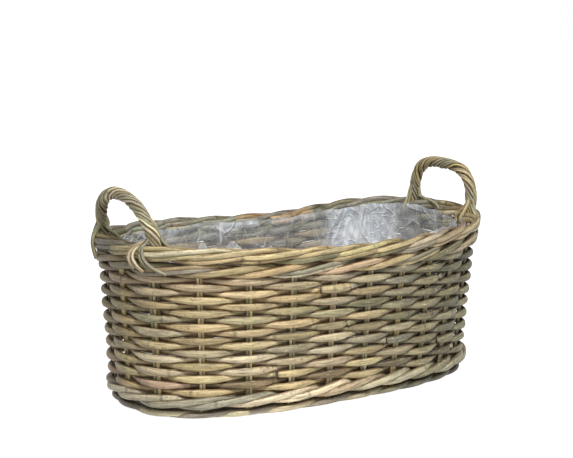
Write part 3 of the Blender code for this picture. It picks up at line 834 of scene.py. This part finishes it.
class BASKET_OT_wales(bpy.types.Operator):
    """Twists the foot wale, the top wale and the border."""

    bl_idname = "basket.wales"
    bl_label = "Twist wales and border"

    def execute(self, context):
        """Three strands in each band, some of them doubled."""
        sizes = context.scene.basket_weave
        material = rattan_material("band_rattan", context.scene.basket_rattan)
        wale, border = sizes.wale_radius, sizes.border_radius
        looks = (
            ("foot_wale", wale, FOOT_RODS, "straw", ()),
            ("top_wale", 0.95 * wale, BAND_RODS, "tan", (1,)),
            ("rim_border", border, BAND_RODS, "straw", (0, 1, 2)),
        )
        for order, (band, radius, rods, slot, doubled) in enumerate(looks):
            level, route = BAND_ROUTES[band]
            for strand in range(3):
                bundle = RodBundle(sizes.seed * 2000 + 10 * order + strand)
                self.twist(bundle, level, strand, route, radius, rods, strand in doubled)
                bundle.put(f"{band}_{strand + 1}", material, slot)
        return {"FINISHED"}

    def twist(self, bundle, level, strand, route, radius, rods, paired):
        """A closed strand, single or of two thinner rods that lie against each other. Shade is painted
        outside its lit strip, which narrows by 0.9 (cos t - 0.15), where t grows by one turn from one place
        behind a stake to the next."""
        rng = bundle.rng
        path = strand_path(level, strand, *route)
        spans = np.arange(len(path)) / BAND_RINGS
        lot = ((spans - 2 * strand + 2) // 6).astype(int) % 8
        # Where the strand passes behind a stake its lit strip narrows, so more of it carries painted shade
        deep = np.cos((spans - 2 * strand - 4) / 6 * 2 * np.pi)
        clean = [BAND_LIT_STRIP - 0.9 * np.clip(hidden - 0.15, 0.0, 1.0) for hidden in (deep, -deep)]
        stake = spans / 2
        runs = SPECIAL_RUNS if level == BORDER_Z and strand != 1 else ()
        path = path + np.array(UP) * wander(rng, stake, BAND_WAVE)[:, None]
        for place in (0.0, np.pi) if paired else (None,):
            tone = self.strand_tone(rng, stake, lot, level, rods, runs)
            swell = radius * (1 + wander(rng, stake, STRAND_WAVE) + 0.14 * bump_at(stake, *BACK_REACH))
            if place is None:
                bundle.add(path, swell, tone, UP, closed=True, flat=1.14, clean=clean)
                continue
            turn = place + 0.25 + wander(rng, stake, 0.35, 3)
            moved = beside(path, turn, 0.62 * radius)
            thin = rng.uniform(0.60, 0.74)
            bundle.add(moved, thin * swell, tone, UP, closed=True, flat=1.10, clean=clean)

    def strand_tone(self, rng, stake, lot, level, rods, runs):
        """Tone along a strand. Its colour changes where it passes behind a stake, as one rod ends there,
        and the runs blend in colours of their own."""
        far = ((stake > BACK_RUN[0]) & (stake < BACK_RUN[1]) & (level >= TOP_WALE_Z))[:, None]
        tone = np.where(far, BACK_LIGHT * pick(rng, BACK_RODS, 9)[lot], pick(rng, rods, 9)[lot])
        for start, end, special in runs:
            share = np.clip(np.minimum(stake - start, end - stake) / 0.2, 0.0, 1.0)[:, None]
            tone = tone * (1 - share) + special * share
        # Greener round the +X end, with painted shade round the ends and painted light along the wall
        if level == FOOT_WALE_Z:
            return weathered(tone, stake, 0.9) * lit(stake, FOOT_WALE_LIGHT)
        return weathered(tone, stake, 0.35) * lit(stake, TOP_LIGHT)


def stake_spread(stake, axis):
    """How far a stake of a pair stands aside, so that their sticks touch where they cross the base: the
    radius over the wall direction's part along the given axis."""
    along, _ = wall_frame(np.array(float(stake)))
    return (STAKE_RADIUS + GAP / 2) / abs(along[axis])


def stake_route(near, far, spread, stick_z):
    """Rod down one wall, under the base and up the other: a curve through points that stand close
    together at its two bends. Also gives the direction across it."""
    levels = np.array([RIM_Z - 0.009, 0.15, 0.09, 0.045, stick_z + 0.006, stick_z + 0.0017])
    down = wall(np.full(6, float(near)), levels, spread)
    up = wall(np.full(6, float(far)), levels, -spread)[::-1]
    start, end = wall(near, stick_z, spread), wall(far, stick_z, -spread)
    inward = unit(end - start)
    under = np.stack([start + inward * d for d in (0.0017, 0.006, 0.03)])
    back = np.stack([end - inward * d for d in (0.03, 0.006, 0.0017)])
    middle = np.linspace(under[-1], back[0], 7)[1:-1]
    return spline(np.concatenate([down, under, middle, back, up]), 6), unit(np.cross(inward, UP))


class BASKET_OT_stakes(bpy.types.Operator):
    """Sets up the stakes that the wall is woven on."""

    bl_idname = "basket.stakes"
    bl_label = "Set stakes"

    def execute(self, context):
        """Stakes across the base, then those along it: pairs whose rods are two nodes, one on each side,
        and beside the handles single ones of two thin rods."""
        material = rattan_material("stake_rattan", context.scene.basket_rattan)
        across = ((f"cross_stake_{near - 1}", near, STAKE_COUNT - near) for near in range(2, HALF_COUNT - 1))
        along = ((f"long_stake_{near + 2}", near % STAKE_COUNT, HALF_COUNT - near) for near in (-1, 0, 1))
        for axis, (stick_z, stakes) in enumerate(((CROSS_STICK_Z, across), (LONG_STICK_Z, along))):
            for name, near, far in stakes:
                if near in SINGLE_STAKES:
                    self.rods(name, near, far, (-THIN_ASIDE, THIN_ASIDE), stick_z, THIN_RADIUS, material)
                    continue
                spread = stake_spread(near, axis)
                for side, label in ((-1, "a"), (1, "b")):
                    self.rods(name + label, near, far, (side * spread,), stick_z, ROD_RADIUS, material)
        return {"FINISHED"}

    def rods(self, name, near, far, spreads, stick_z, radius, material):
        """Rods of one node: each a tube along its route that sways by a sine of its length."""
        bundle = RodBundle(3000 + near * 17 + int(1e5 * spreads[0]) % 97)
        for spread in spreads:
            path, reference = stake_route(near, far, spread, stick_z)
            # Painted shade: darker on the front round the +X end, and thin painted shade on the flanks
            # outside the lit strip
            shade = 0.5 * bump_at(near, 10.0, 2.2) * (path[:, 1] < 0)
            tone = STAKE_LIGHT * pick(bundle.rng, STAKE_RODS, 1) * (1 - shade)[:, None]
            path = path + reference * (0.00025 * np.sin(run_length(path) * 60 + near))[:, None]
            bundle.add(path, 1.08 * radius, tone, reference, sides=10, clean=(0.97, 0.97))
        bundle.put(name, material, "tan")


class BASKET_OT_base(bpy.types.Operator):
    """Lays the foot border and the woven base."""

    bl_idname = "basket.base"
    bl_label = "Lay base"

    def execute(self, context):
        """Foot border, then the mat that lies on the cross stakes."""
        material = rattan_material("base_rattan", context.scene.basket_rattan)
        self.foot(material)
        self.mat(material)
        return {"FINISHED"}

    def foot(self, material):
        """Two rods twisted round each other under the wall: each swings by cos(t) across and sin(t) up,
        where t grows by pi from stake to stake."""
        bundle = RodBundle(4001)
        stake = np.arange(STAKE_COUNT * FOOT_RINGS) / FOOT_RINGS
        for strand in (0, 1):
            turn = np.pi * stake + np.pi * strand
            path = wall(stake, FOOT_Z + FOOT_CLIMB * np.sin(turn), 0.0, FOOT_SWAY * np.cos(turn))
            tones = pick(bundle.rng, FOOT_RODS, 8)
            tone = tones[(stake // 3).astype(int) % 8]
            # Greener round the +X end, with painted shade round the ends and painted light along the wall
            tone = weathered(tone, stake, 1.4) * lit(stake, *FOOT_LIGHT)
            radius = FOOT_RADIUS * (1 + wander(bundle.rng, stake, 0.04))
            # A little painted depth shade over the whole foot border
            bundle.add(path, radius, tone, UP, closed=True, depth_shade=0.15, flat=0.98)
        bundle.put("foot_border", material, "grey")

    def mat(self, material):
        """Rods side by side along the base, each over one cross stick and under the next by a sine."""
        bundle = RodBundle(4002)
        inner = wall(np.linspace(0, HALF_COUNT, 481), MAT_Z, 0.0, -MAT_INSET)
        reach = -inner[:, 1].min() + MAT_ROD_PITCH
        count = round(2 * reach / MAT_ROD_PITCH)
        low = inner[: len(inner) // 2 + 1]
        for rod in range(count):
            y = (rod - (count - 1) / 2) * MAT_ROD_PITCH
            if abs(y) > -inner[:, 1].min() - 0.002:
                continue
            half = np.interp(abs(y), -low[:, 1], -low[:, 0])
            x = np.linspace(-half, half, 96)
            height = MAT_Z + MAT_THICKNESS / 2 + MAT_WAVE * np.sin(np.pi * (x / STICK_PITCH + rod))
            path = np.stack([x, np.full_like(x, y), height], axis=-1)
            tone = pick(bundle.rng, WALL_RODS, 1)[0]
            # Painted depth shade over the whole mat
            bundle.add(path, MAT_ROD_RADIUS, tone, UP, sides=8, depth_shade=0.25, knots=0.003)
        bundle.put("base_mat", material, "grey")


def leg_point(stake, height):
    """Place of a handle's leg, which stands beside its stake, away from the handle's middle."""
    return wall(stake, height, LEG_SIDES[stake] * LEG_ASIDE)


def handle_line(hand, share):
    """Half a superellipse above the rim, from one leg to the other, that leans outwards at its top."""
    first, second = HANDLE_STAKES[hand]
    start, end = leg_point(first, RIM_Z), leg_point(second, RIM_Z)
    middle, half = (start + end) / 2, (start - end) / 2
    across, up = np.cos(np.pi * share), np.sin(np.pi * share)
    power = 2.0 / HANDLE_FULLNESS[hand]
    rise = np.array([HANDLE_LEAN[hand] * (-1.0 if hand == "left" else 1.0), 0.0, HANDLE_RISE])
    wide = np.sign(across) * np.abs(across) ** power
    high = np.maximum(up, 0.0) ** power
    return middle + wide[:, None] * half + high[:, None] * rise, unit(np.cross(half, rise))


class BASKET_OT_handles(bpy.types.Operator):
    """Twists the two rope handles and ties their ends over the border."""

    bl_idname = "basket.handles"
    bl_label = "Twist handles"

    def execute(self, context):
        """Core, rope and the ties of both feet, for each handle."""
        sizes = context.scene.basket_handles
        material = rattan_material("rope_rattan", context.scene.basket_rattan)
        for hand, legs in HANDLE_STAKES.items():
            self.core(hand, material)
            self.rope(hand, sizes, material)
            for stake in legs:
                self.ties(hand, stake, sizes, material)
        return {"FINISHED"}

    def core(self, hand, material):
        """Bent rod inside the rope: a curve up one leg, over the arch and down the other leg."""
        bundle = RodBundle(5001 + len(hand))
        first, second = HANDLE_STAKES[hand]
        arch, normal = handle_line(hand, np.linspace(0.03, 0.97, 60))
        down, up = leg_point(first, LEG_LEVELS), leg_point(second, LEG_LEVELS)[::-1]
        path = spline(np.concatenate([down, arch[::6], up]), 6)
        # The core carries half the painted depth shade, with its dark moss colour, so that the gaps between
        # the strands read as shade
        bundle.add(path, CORE_RADIUS, MOSS, normal, sides=8, depth_shade=0.5)
        bundle.put(f"handle_{hand}_core", material, "grey")

    def rope(self, hand, sizes, material):
        """Strands on a helix: centre + R (cos a * normal + sin a * inner), with a turning once a pitch.
        The helix draws in to its waist where its feet go down between the strands of the border."""
        bundle = RodBundle(5100 + len(hand))
        centre, normal = handle_line(hand, np.linspace(0.02, 0.98, 200))
        first, second = HANDLE_STAKES[hand]
        feet = RIM_Z - np.linspace(0.014, 0.002, 8)
        centre = np.concatenate([leg_point(first, feet), centre, leg_point(second, feet[::-1])])
        tangent = unit(np.gradient(centre, axis=0))
        inner = np.cross(tangent, normal)
        length = run_length(centre)
        from_end = np.minimum(length, length[-1] - length)
        open_by = np.clip(from_end / ROPE_FOOT, 0.0, 1.0)[:, None]
        coil = (ROPE_RADIUS - sizes.strand_radius) * (ROPE_WAIST + (1 - ROPE_WAIST) * open_by)
        for strand in range(sizes.strands):
            turn = 2 * np.pi * (strand / sizes.strands - length / sizes.pitch)
            turn = turn + 0.08 * bundle.rng.standard_normal() + wander(bundle.rng, length, 0.05, 3, 0.1)
            ring = np.cos(turn)[:, None] * normal + np.sin(turn)[:, None] * inner
            path = centre + (coil + 0.0003 * bundle.rng.standard_normal()) * ring
            tone = ROPE_LIGHT[hand] * pick(bundle.rng, ROPE_RODS[hand], 1)[0]
            radius = sizes.strand_radius * bundle.rng.uniform(0.9, 1.08)
            # Painted shade in the grooves between the strands, outside a narrow lit strip on the outward face
            looks = {"knots": 0.004, "facing": np.pi / 2, "clean": (0.56, 0.56)}
            bundle.add(path, radius, tone, ring, sides=10, **looks)
        bundle.put(f"handle_{hand}_rope", material, "olive")

    def ties(self, hand, stake, sizes, material):
        """Strand ends that leave the foot of the rope, each a curve through the points of its route: hooked
        over the border or hugging it outside, or swept along its inside."""
        label = "front" if stake < HALF_COUNT else "back"
        bundle = RodBundle(5200 + stake)
        rods = TIE_RODS if label == "front" else ROPE_RODS[hand]
        for route in TIES[stake]:
            height, aside, out_by = np.array(route, float).T * 0.001
            place = stake + LEG_SIDES[stake] * (LEG_ASIDE + aside) / PERIMETER * STAKE_COUNT
            points = wall(place, RIM_Z + height, 0.0, out_by)
            self.tie(bundle, self.on_rope(hand, stake, points), rods, sizes)
        bundle.put(f"lashing_{hand}_{label}", material, "grey")

    def on_rope(self, hand, stake, points):
        """Points above the rim drawn onto the rope's surface, at their own height and side of its centre,
        and the first of them into it, so that the strand comes out of the rope."""
        first = 0.0 if stake == HANDLE_STAKES[hand][0] else 1.0
        centre, _ = handle_line(hand, np.linspace(first, 0.5, 60))
        middle = [np.interp(points[:, 2], centre[:, 2], part) for part in centre.T]
        away = points - np.stack(middle, axis=-1)
        gap = np.linalg.norm(away, axis=-1, keepdims=True)
        sunk = np.where(np.arange(len(points)) == 0, *TIE_SUNK)[:, None]
        drawn = np.stack(middle, axis=-1) + unit(away) * np.minimum(gap, ROPE_RADIUS - sunk)
        share = np.clip((points[:, 2:] - RIM_Z - 0.004) / 0.010, 0.0, 1.0)
        return points * (1 - share) + drawn * share

    def tie(self, bundle, points, rods, sizes):
        """One strand end: a tube along the curve through its points, thinner towards its tip."""
        path = spline(points, 8)
        along = unit(points[-1] - points[0])
        reference = unit(np.cross(along, np.cross(along, unit(points[2] * (1.0, 1.0, 0.0)))))
        tone = 1.1 * pick(bundle.rng, rods, 1)[0]
        radius = 1.15 * sizes.strand_radius * np.linspace(1.0, 0.85, len(path))
        # Thin painted shade on its flanks, outside the lit strip
        bundle.add(path, radius, tone, reference, sides=10, knots=0.003, clean=(0.92, 0.92))


def film_material(name, looks):
    """Clear film: a thin bluish haze that shows the weave behind, with fine white lines painted as
    highlights where it is creased, milky where it lies doubled in pleats, calm by the right handle, and
    with a wet gloss."""
    material = bpy.data.materials.new(name)
    graph = Graph(material)
    crease, calm, pleat = graph.parts(graph.field("marks", "Vector"))
    place = graph.add("ShaderNodeTexCoord", output="Object")
    upright = graph.stretch(place, (1.0, 1.0, 0.65))
    long_line = graph.crease_lines(upright, 17.0, 0.016)
    short_line = graph.crease_lines(graph.stretch(place, (0.7, 0.7, 1.2)), 46.0, 0.030)
    fine_line = graph.crease_lines(graph.stretch(place, (1.0, 1.0, 0.30)), 60.0, 0.05)
    wrinkle = graph.crease_lines(graph.stretch(place, (0.8, 0.8, 0.9)), 22.0, 0.055)
    patch = graph.ramp(graph.noise(place, 14.0, 2.0), (0.42, 0.0), (0.62, 1.0))
    # Painted highlights: white lines on the creases, on the crease patterns and, more, in the pleats
    lines = crease * 0.6 + long_line * (0.25 + 0.75 * patch) + short_line * (0.45 * patch + 0.50 * pleat)
    lines = (lines + (fine_line * 0.6 + wrinkle * 0.8) * pleat) * (1.0 - 0.75 * calm)
    tint = graph.mix(pleat, colour(looks.haze), colour(looks.milk))
    # The painted highlight lines whiten the film and make it more opaque
    white = graph.mix(lines, tint, colour((0.95, 0.97, 1.0)))
    alpha = 0.20 + 0.16 * patch + 0.64 * pleat + 0.60 * lines
    crumple = graph.noise(upright, 30.0, 3.0, 0.5)
    bump = graph.bump(crumple + 0.5 * long_line + 0.25 * short_line, 0.6, 0.005)
    inputs = {"Base Color": white, "Roughness": 0.30, "Alpha": alpha, "Normal": bump, "IOR": 1.5}
    graph.close(graph.add("ShaderNodeBsdfPrincipled", {}, inputs))
    return material


# Where the film's hem stands up: rise, middle and width in stakes. The last three are crumpled corners
# over the front rim.
HEM_RISES = (
    *((0.0035, 14.3, 1.4), (0.0040, 17.6, 1.6)),
    *((0.0145, 2.12, 0.10), (0.0125, 2.78, 0.17), (0.0105, 3.66, 0.08)),
)

# Milky patch of the film, where it lies doubled, and calm film beside it: middle and reach in stakes
PATCH_STAKE = 14.75
PATCH_REACH = 1.15
CALM_REACH = (12.75, 0.75)

# Directions in the film's net of low ridges
NET_LINES = 22


class BASKET_OT_liner(bpy.types.Operator):
    """Hangs the creased film inside the basket."""

    bl_idname = "basket.liner"
    bl_label = "Hang liner"

    def execute(self, context):
        """Film and its look, in place of the solid liner."""
        looks = context.scene.basket_liner
        mesh = self.mesh(*self.film(np.random.default_rng(61), looks))
        liner = put("film_liner", mesh, film_material("clear_film_look", looks), "film", "liner")
        return {"FINISHED"}

    def film(self, rng, looks):
        """Rings of points from the hem down the wall and in over the floor, with their marks. At a share t
        of the way down a ring lies at z = hem + (floor - hem) t. It stands in from the wall by the inset,
        by r (1 - sqrt(1 - c^2)) round the corner, where c grows from 0 at its top to 1 at the floor, and
        by the folds, and 3 mm more over the top wale. The floor's rings are the last one, drawn in."""
        stake = np.arange(FILM_POINTS) * STAKE_COUNT / FILM_POINTS
        down = np.linspace(0.0, 1.0, FILM_RINGS)
        fold, crease = self.folds(rng, stake, down, looks.folds)
        floor_z = MAT_Z + MAT_THICKNESS + FILM_GAP
        lift = sum(rise * bump_at(stake, middle, width) for rise, middle, width in HEM_RISES)
        hem = LINER_TOP_Z + looks.hem + lift + wander(rng, stake, 0.0018, 9)
        height = hem[None] + (floor_z - hem[None]) * down[:, None]
        corner = np.clip((floor_z + CORNER_RADIUS - height) / CORNER_RADIUS, 0.0, 1.0)
        inset = FILM_INSET + CORNER_RADIUS * (1 - np.sqrt(np.maximum(1 - corner**2, 0.0)))
        inset = inset + 0.0030 * np.clip((height - LINER_TOP_Z + 0.004) / 0.012, 0.0, 1.0)
        grid = wall(np.broadcast_to(stake, height.shape), height, 0.0, -(inset + fold))
        rings = np.linspace(1.0, 0.02, 16)[1:]
        floor = grid[-1][None] * rings[:, None, None]
        floor[..., 2] = floor_z + 0.0012 * np.abs(wander(rng, stake[None] + rings[:, None] * 5, 1.0, 9))
        blank = np.zeros((len(rings), FILM_POINTS))
        calm = np.broadcast_to(bump_at(stake, *CALM_REACH), fold.shape)
        parts = (crease, calm, self.milk(stake, down))
        marks = np.stack([np.concatenate([part, blank]).ravel() for part in parts], axis=-1)
        return np.concatenate([grid, floor]), marks

    def folds(self, rng, stake, down, count):
        """How far the film stands in from its hem, and how sharply it is creased there. The main folds are
        the solid liner's, 0.5 - 0.5 cos(pi n) of the place n counted in half folds. Creases lie over them,
        and a net of low ridges (1 - |sin|)^2."""
        place = stake / STAKE_COUNT * PERIMETER
        step = stake * 2 * LINER_FOLDS / STAKE_COUNT
        uneven = 0.75 + 0.25 * np.sin(step) * np.cos(0.37 * step)
        fold = LINER_FOLD_DEPTH * (uneven * (0.5 - 0.5 * np.cos(np.pi * step)))[None] * (1 - down[:, None])
        crease = np.zeros_like(fold)
        for each in range(count):
            hill = self.crease_hill(rng, place, down, each % 3 == 0)
            fold += rng.uniform(0.0006, 0.0022) * hill
            crease = np.maximum(crease, rng.uniform(0.25, 1.0) * hill**2)
        for _ in range(NET_LINES):
            angle = rng.uniform(0, np.pi)
            stride = rng.uniform(0.012, 0.050)
            way = np.cos(angle) * place[None] / stride + np.sin(angle) * down[:, None] * 0.17 / stride
            fold += 0.0005 * (1 - np.abs(np.sin(way * np.pi + rng.uniform(0, 6)))) ** 2
        return fold, crease

    def crease_hill(self, rng, place, down, in_patch):
        """One narrow crease, f / (1 + (d / w)^2) across, where d is the distance to its slanting line and
        f fades both ways along it. It lies in the milky patch or anywhere round the wall."""
        if in_patch:
            middle = rng.normal(PATCH_STAKE, 0.9) / STAKE_COUNT * PERIMETER
        else:
            middle = rng.uniform(0, PERIMETER)
        width = rng.uniform(0.0011, 0.0022)
        slant = rng.normal(0.0, 0.10)
        line = middle + slant * down + 0.005 * np.sin(down * rng.uniform(2, 9) + rng.uniform(0, 6))
        away = np.mod(place[None] - line[:, None] + PERIMETER / 2, PERIMETER) - PERIMETER / 2
        fade = np.exp(-(((down - rng.uniform(-0.1, 0.8)) / rng.uniform(0.12, 0.5)) ** 2))[:, None]
        return fade / (1 + (away / width) ** 2)

    def milk(self, stake, down):
        """How milky the film is: exp(-d^4) round the middle of the patch, a faint hill beside it, and the
        rolled hem, which fades by exp(-(t / 0.05)^2) down the wall."""
        aside = np.abs(stake - PATCH_STAKE) / PATCH_REACH
        doubled = np.maximum(np.exp(-(aside**4)), 0.17 * bump_at(stake, 13.2, 0.8))[None]
        rolled = 0.75 * np.exp(-((down / 0.05) ** 2))[:, None] * (0.6 + 0.4 * np.sin(3.1 * stake))[None]
        return np.maximum(doubled * (1 - 0.3 * down[:, None]), rolled)

    def mesh(self, grid, marks):
        """Grid closed round the basket, with its last ring drawn together at the middle of the floor."""
        rows, around = grid.shape[:2]
        index = np.arange(rows * around).reshape(rows, around)
        here, below = index[:-1], index[1:]
        quads = np.stack([here, np.roll(here, -1, 1), np.roll(below, -1, 1), below], axis=-1)
        points = np.concatenate([grid.reshape(-1, 3), grid[-1].mean(0)[None]])
        last = index[-1]
        fan = np.stack([last, np.roll(last, -1), np.full(around, rows * around)], axis=-1)
        fields = {"marks": ("FLOAT_VECTOR", "vector", np.concatenate([marks, marks[-1:]]))}
        mesh = surface("liner", points, quads.reshape(-1, 4).tolist() + fan.tolist(), fields)
        mesh.flip_normals()
        return mesh


class StudioSizes(bpy.types.PropertyGroup):
    """Camera, lights and floor."""

    distance: number("Distance", "From the basket's middle to the camera", 2.2767, unit="LENGTH")
    azimuth: number("Azimuth", "Turn of the camera round the basket", 0.6163, subtype="ANGLE")
    pitch: number("Pitch", "How far the camera looks down", 0.1774, subtype="ANGLE")
    roll: number("Roll", "Turn of the picture", 0.0125, subtype="ANGLE")
    lens: number("Lens", "Focal length in pixels of the picture", 1718.9)
    slide: number("Slide", "Camera's move to its right", -0.0084, unit="LENGTH")
    climb: number("Climb", "Camera's move upwards", 0.1994, unit="LENGTH")
    soft_power: number("Soft power", "Power of the soft light", 24.0, unit="POWER")
    key_power: number("Key power", "Power of the key beam", 150.0, unit="POWER")
    sky: number("Sky", "Level of the light from all round", 0.36)


# Lights: place, then the point that each one faces
SOFT_AIM = ((-0.7, -1.6, 2.2), (0.0, 0.0, 0.1))
KEY_AIM = ((-0.55, -1.45, 2.05), (-0.03, -0.1, 0.10))


class BASKET_OT_studio(bpy.types.Operator):
    """Sets the floor, the lights and the camera."""

    bl_idname = "basket.studio"
    bl_label = "Set studio"

    def execute(self, context):
        """Floor, surroundings, a soft light, a key beam and the camera, with plain screen colours."""
        sizes = context.scene.basket_studio
        self.floor()
        self.world(context.scene, sizes)
        self.lamp("soft_light", "AREA", *SOFT_AIM, energy=sizes.soft_power, size=1.0)
        beam = {"spot_size": 0.34, "spot_blend": 1.0, "shadow_soft_size": 0.16}
        self.lamp("key_light", "SPOT", *KEY_AIM, energy=sizes.key_power, **beam)
        self.camera(context.scene, sizes)
        context.scene.view_settings.view_transform = "Standard"
        return {"FINISHED"}

    def floor(self):
        """Plane that glows white to the camera outside the basket's foot, whose plan is the base's."""
        bpy.ops.mesh.primitive_plane_add(size=9.0, location=(0.0, 0.0, -0.0002))
        floor = bpy.context.object
        floor.name = "pale_floor"
        material = bpy.data.materials.new("pale_floor")
        graph = Graph(material)
        across, along, _ = graph.parts(graph.add("ShaderNodeTexCoord", output="Object"))
        half_length, half_width = RIM_HALF_LENGTH - BASE_INSET, RIM_HALF_WIDTH - BASE_INSET
        reach = across.math("ABSOLUTE", across * (1 / half_length)) ** PLAN_ROUNDNESS
        reach = reach + along.math("ABSOLUTE", along * (1 / half_width)) ** PLAN_ROUNDNESS
        outside = graph.ramp(reach, (0.80, 0.0), (0.98, 1.0))
        seen = self.seen(graph) * outside
        diffuse = graph.add("ShaderNodeBsdfDiffuse", {}, {"Color": (0.86, 0.86, 0.86, 1.0)})
        glow = graph.add("ShaderNodeEmission", {}, {"Color": (1.0, 1.0, 1.0, 1.0), "Strength": seen * 0.9})
        graph.close(graph.add("ShaderNodeAddShader", {}, {0: diffuse, 1: glow}))
        floor.data.materials.append(material)

    def seen(self, graph):
        """1 for the rays that show the background: straight to the camera, mirrored or let through."""
        path = graph.add("ShaderNodeLightPath").socket.node
        rays = [Link(graph, path.outputs[f"Is {kind} Ray"]) for kind in ("Camera", "Glossy", "Transmission")]
        return rays[0].math("MINIMUM", rays[0] + rays[1] + rays[2], 1.0)

    def world(self, scene, sizes):
        """White surroundings that light the basket less than they show."""
        world = bpy.data.worlds.new("white_room")
        scene.world = world
        graph = Graph(world)
        seen = self.seen(graph)
        strength = seen * (1.0 - sizes.sky) + sizes.sky
        inputs = {"Color": (1.0, 1.0, 1.0, 1.0), "Strength": strength}
        graph.close(graph.add("ShaderNodeBackground", {}, inputs), "World")

    def lamp(self, name, kind, place, target, **looks):
        """Lamp of a kind at a place, turned to its target. The key is a soft-edged beam on the middle of
        the front, so that both ends fall off."""
        lamp = bpy.data.lights.new(name, kind)
        for look, value in looks.items():
            setattr(lamp, look, value)
        obj = bpy.data.objects.new(name, lamp)
        obj.location = place
        obj.rotation_euler = (Vector(target) - Vector(place)).to_track_quat("-Z", "Y").to_euler()
        bpy.context.scene.collection.objects.link(obj)

    def camera(self, scene, sizes):
        """Camera that looks along (sin a cos p, cos a cos p, -sin p) and is rolled about that line."""
        azimuth, pitch = sizes.azimuth, sizes.pitch
        ahead = Vector((np.sin(azimuth) * np.cos(pitch), np.cos(azimuth) * np.cos(pitch), -np.sin(pitch)))
        right = Vector((np.cos(azimuth), -np.sin(azimuth), 0.0))
        up = right.cross(ahead)
        turn, tilt = np.cos(sizes.roll), np.sin(sizes.roll)
        right, up = right * turn + up * tilt, up * turn - right * tilt
        place = -sizes.distance * ahead + sizes.slide * right + sizes.climb * up
        data = bpy.data.cameras.new("photo_camera")
        data.sensor_width = 36.0
        data.lens = sizes.lens * data.sensor_width / PHOTO_WIDTH
        data.clip_start = 0.05
        camera = bpy.data.objects.new("photo_camera", data)
        camera.matrix_world = Matrix.Translation(place) @ Matrix((right, up, -ahead)).transposed().to_4x4()
        scene.collection.objects.link(camera)
        scene.camera = camera


class BASKET_PT_sidebar(bpy.types.Panel):
    """Steps and sizes of the basket."""

    bl_idname = "BASKET_PT_sidebar"
    bl_label = "Rattan planter basket"
    bl_space_type = "VIEW_3D"
    bl_region_type = "UI"
    bl_category = "Basket"

    def draw(self, context):
        """Buttons of the steps, then the settings of each group."""
        for name in STEPS:
            self.layout.operator(f"basket.{name}")
        for group in SETTINGS:
            box = self.layout.box()
            settings = getattr(context.scene, group)
            for name in settings.__annotations__:
                box.prop(settings, name)


STEPS = ("wall", "wales", "stakes", "base", "handles", "liner", "studio")
SETTINGS = {
    "basket_rattan": RattanLooks,
    "basket_weave": WeaveSizes,
    "basket_handles": HandleSizes,
    "basket_liner": LinerLooks,
    "basket_studio": StudioSizes,
}
CLASSES = (
    *SETTINGS.values(),
    BASKET_OT_wall,
    BASKET_OT_wales,
    BASKET_OT_stakes,
    BASKET_OT_base,
    BASKET_OT_handles,
    BASKET_OT_liner,
    BASKET_OT_studio,
    BASKET_PT_sidebar,
)


def register():
    """Registers the classes and hangs the settings on the scene."""
    for each in CLASSES:
        bpy.utils.register_class(each)
    for name, group in SETTINGS.items():
        setattr(bpy.types.Scene, name, PointerProperty(type=group))


def unregister():
    """Takes back what register did."""
    for name in SETTINGS:
        delattr(bpy.types.Scene, name)
    for each in reversed(CLASSES):
        bpy.utils.unregister_class(each)


def main():
    """Builds every step in order."""
    register()
    for step in STEPS:
        getattr(bpy.ops.basket, step)()


if __name__ == "__main__":
    main()
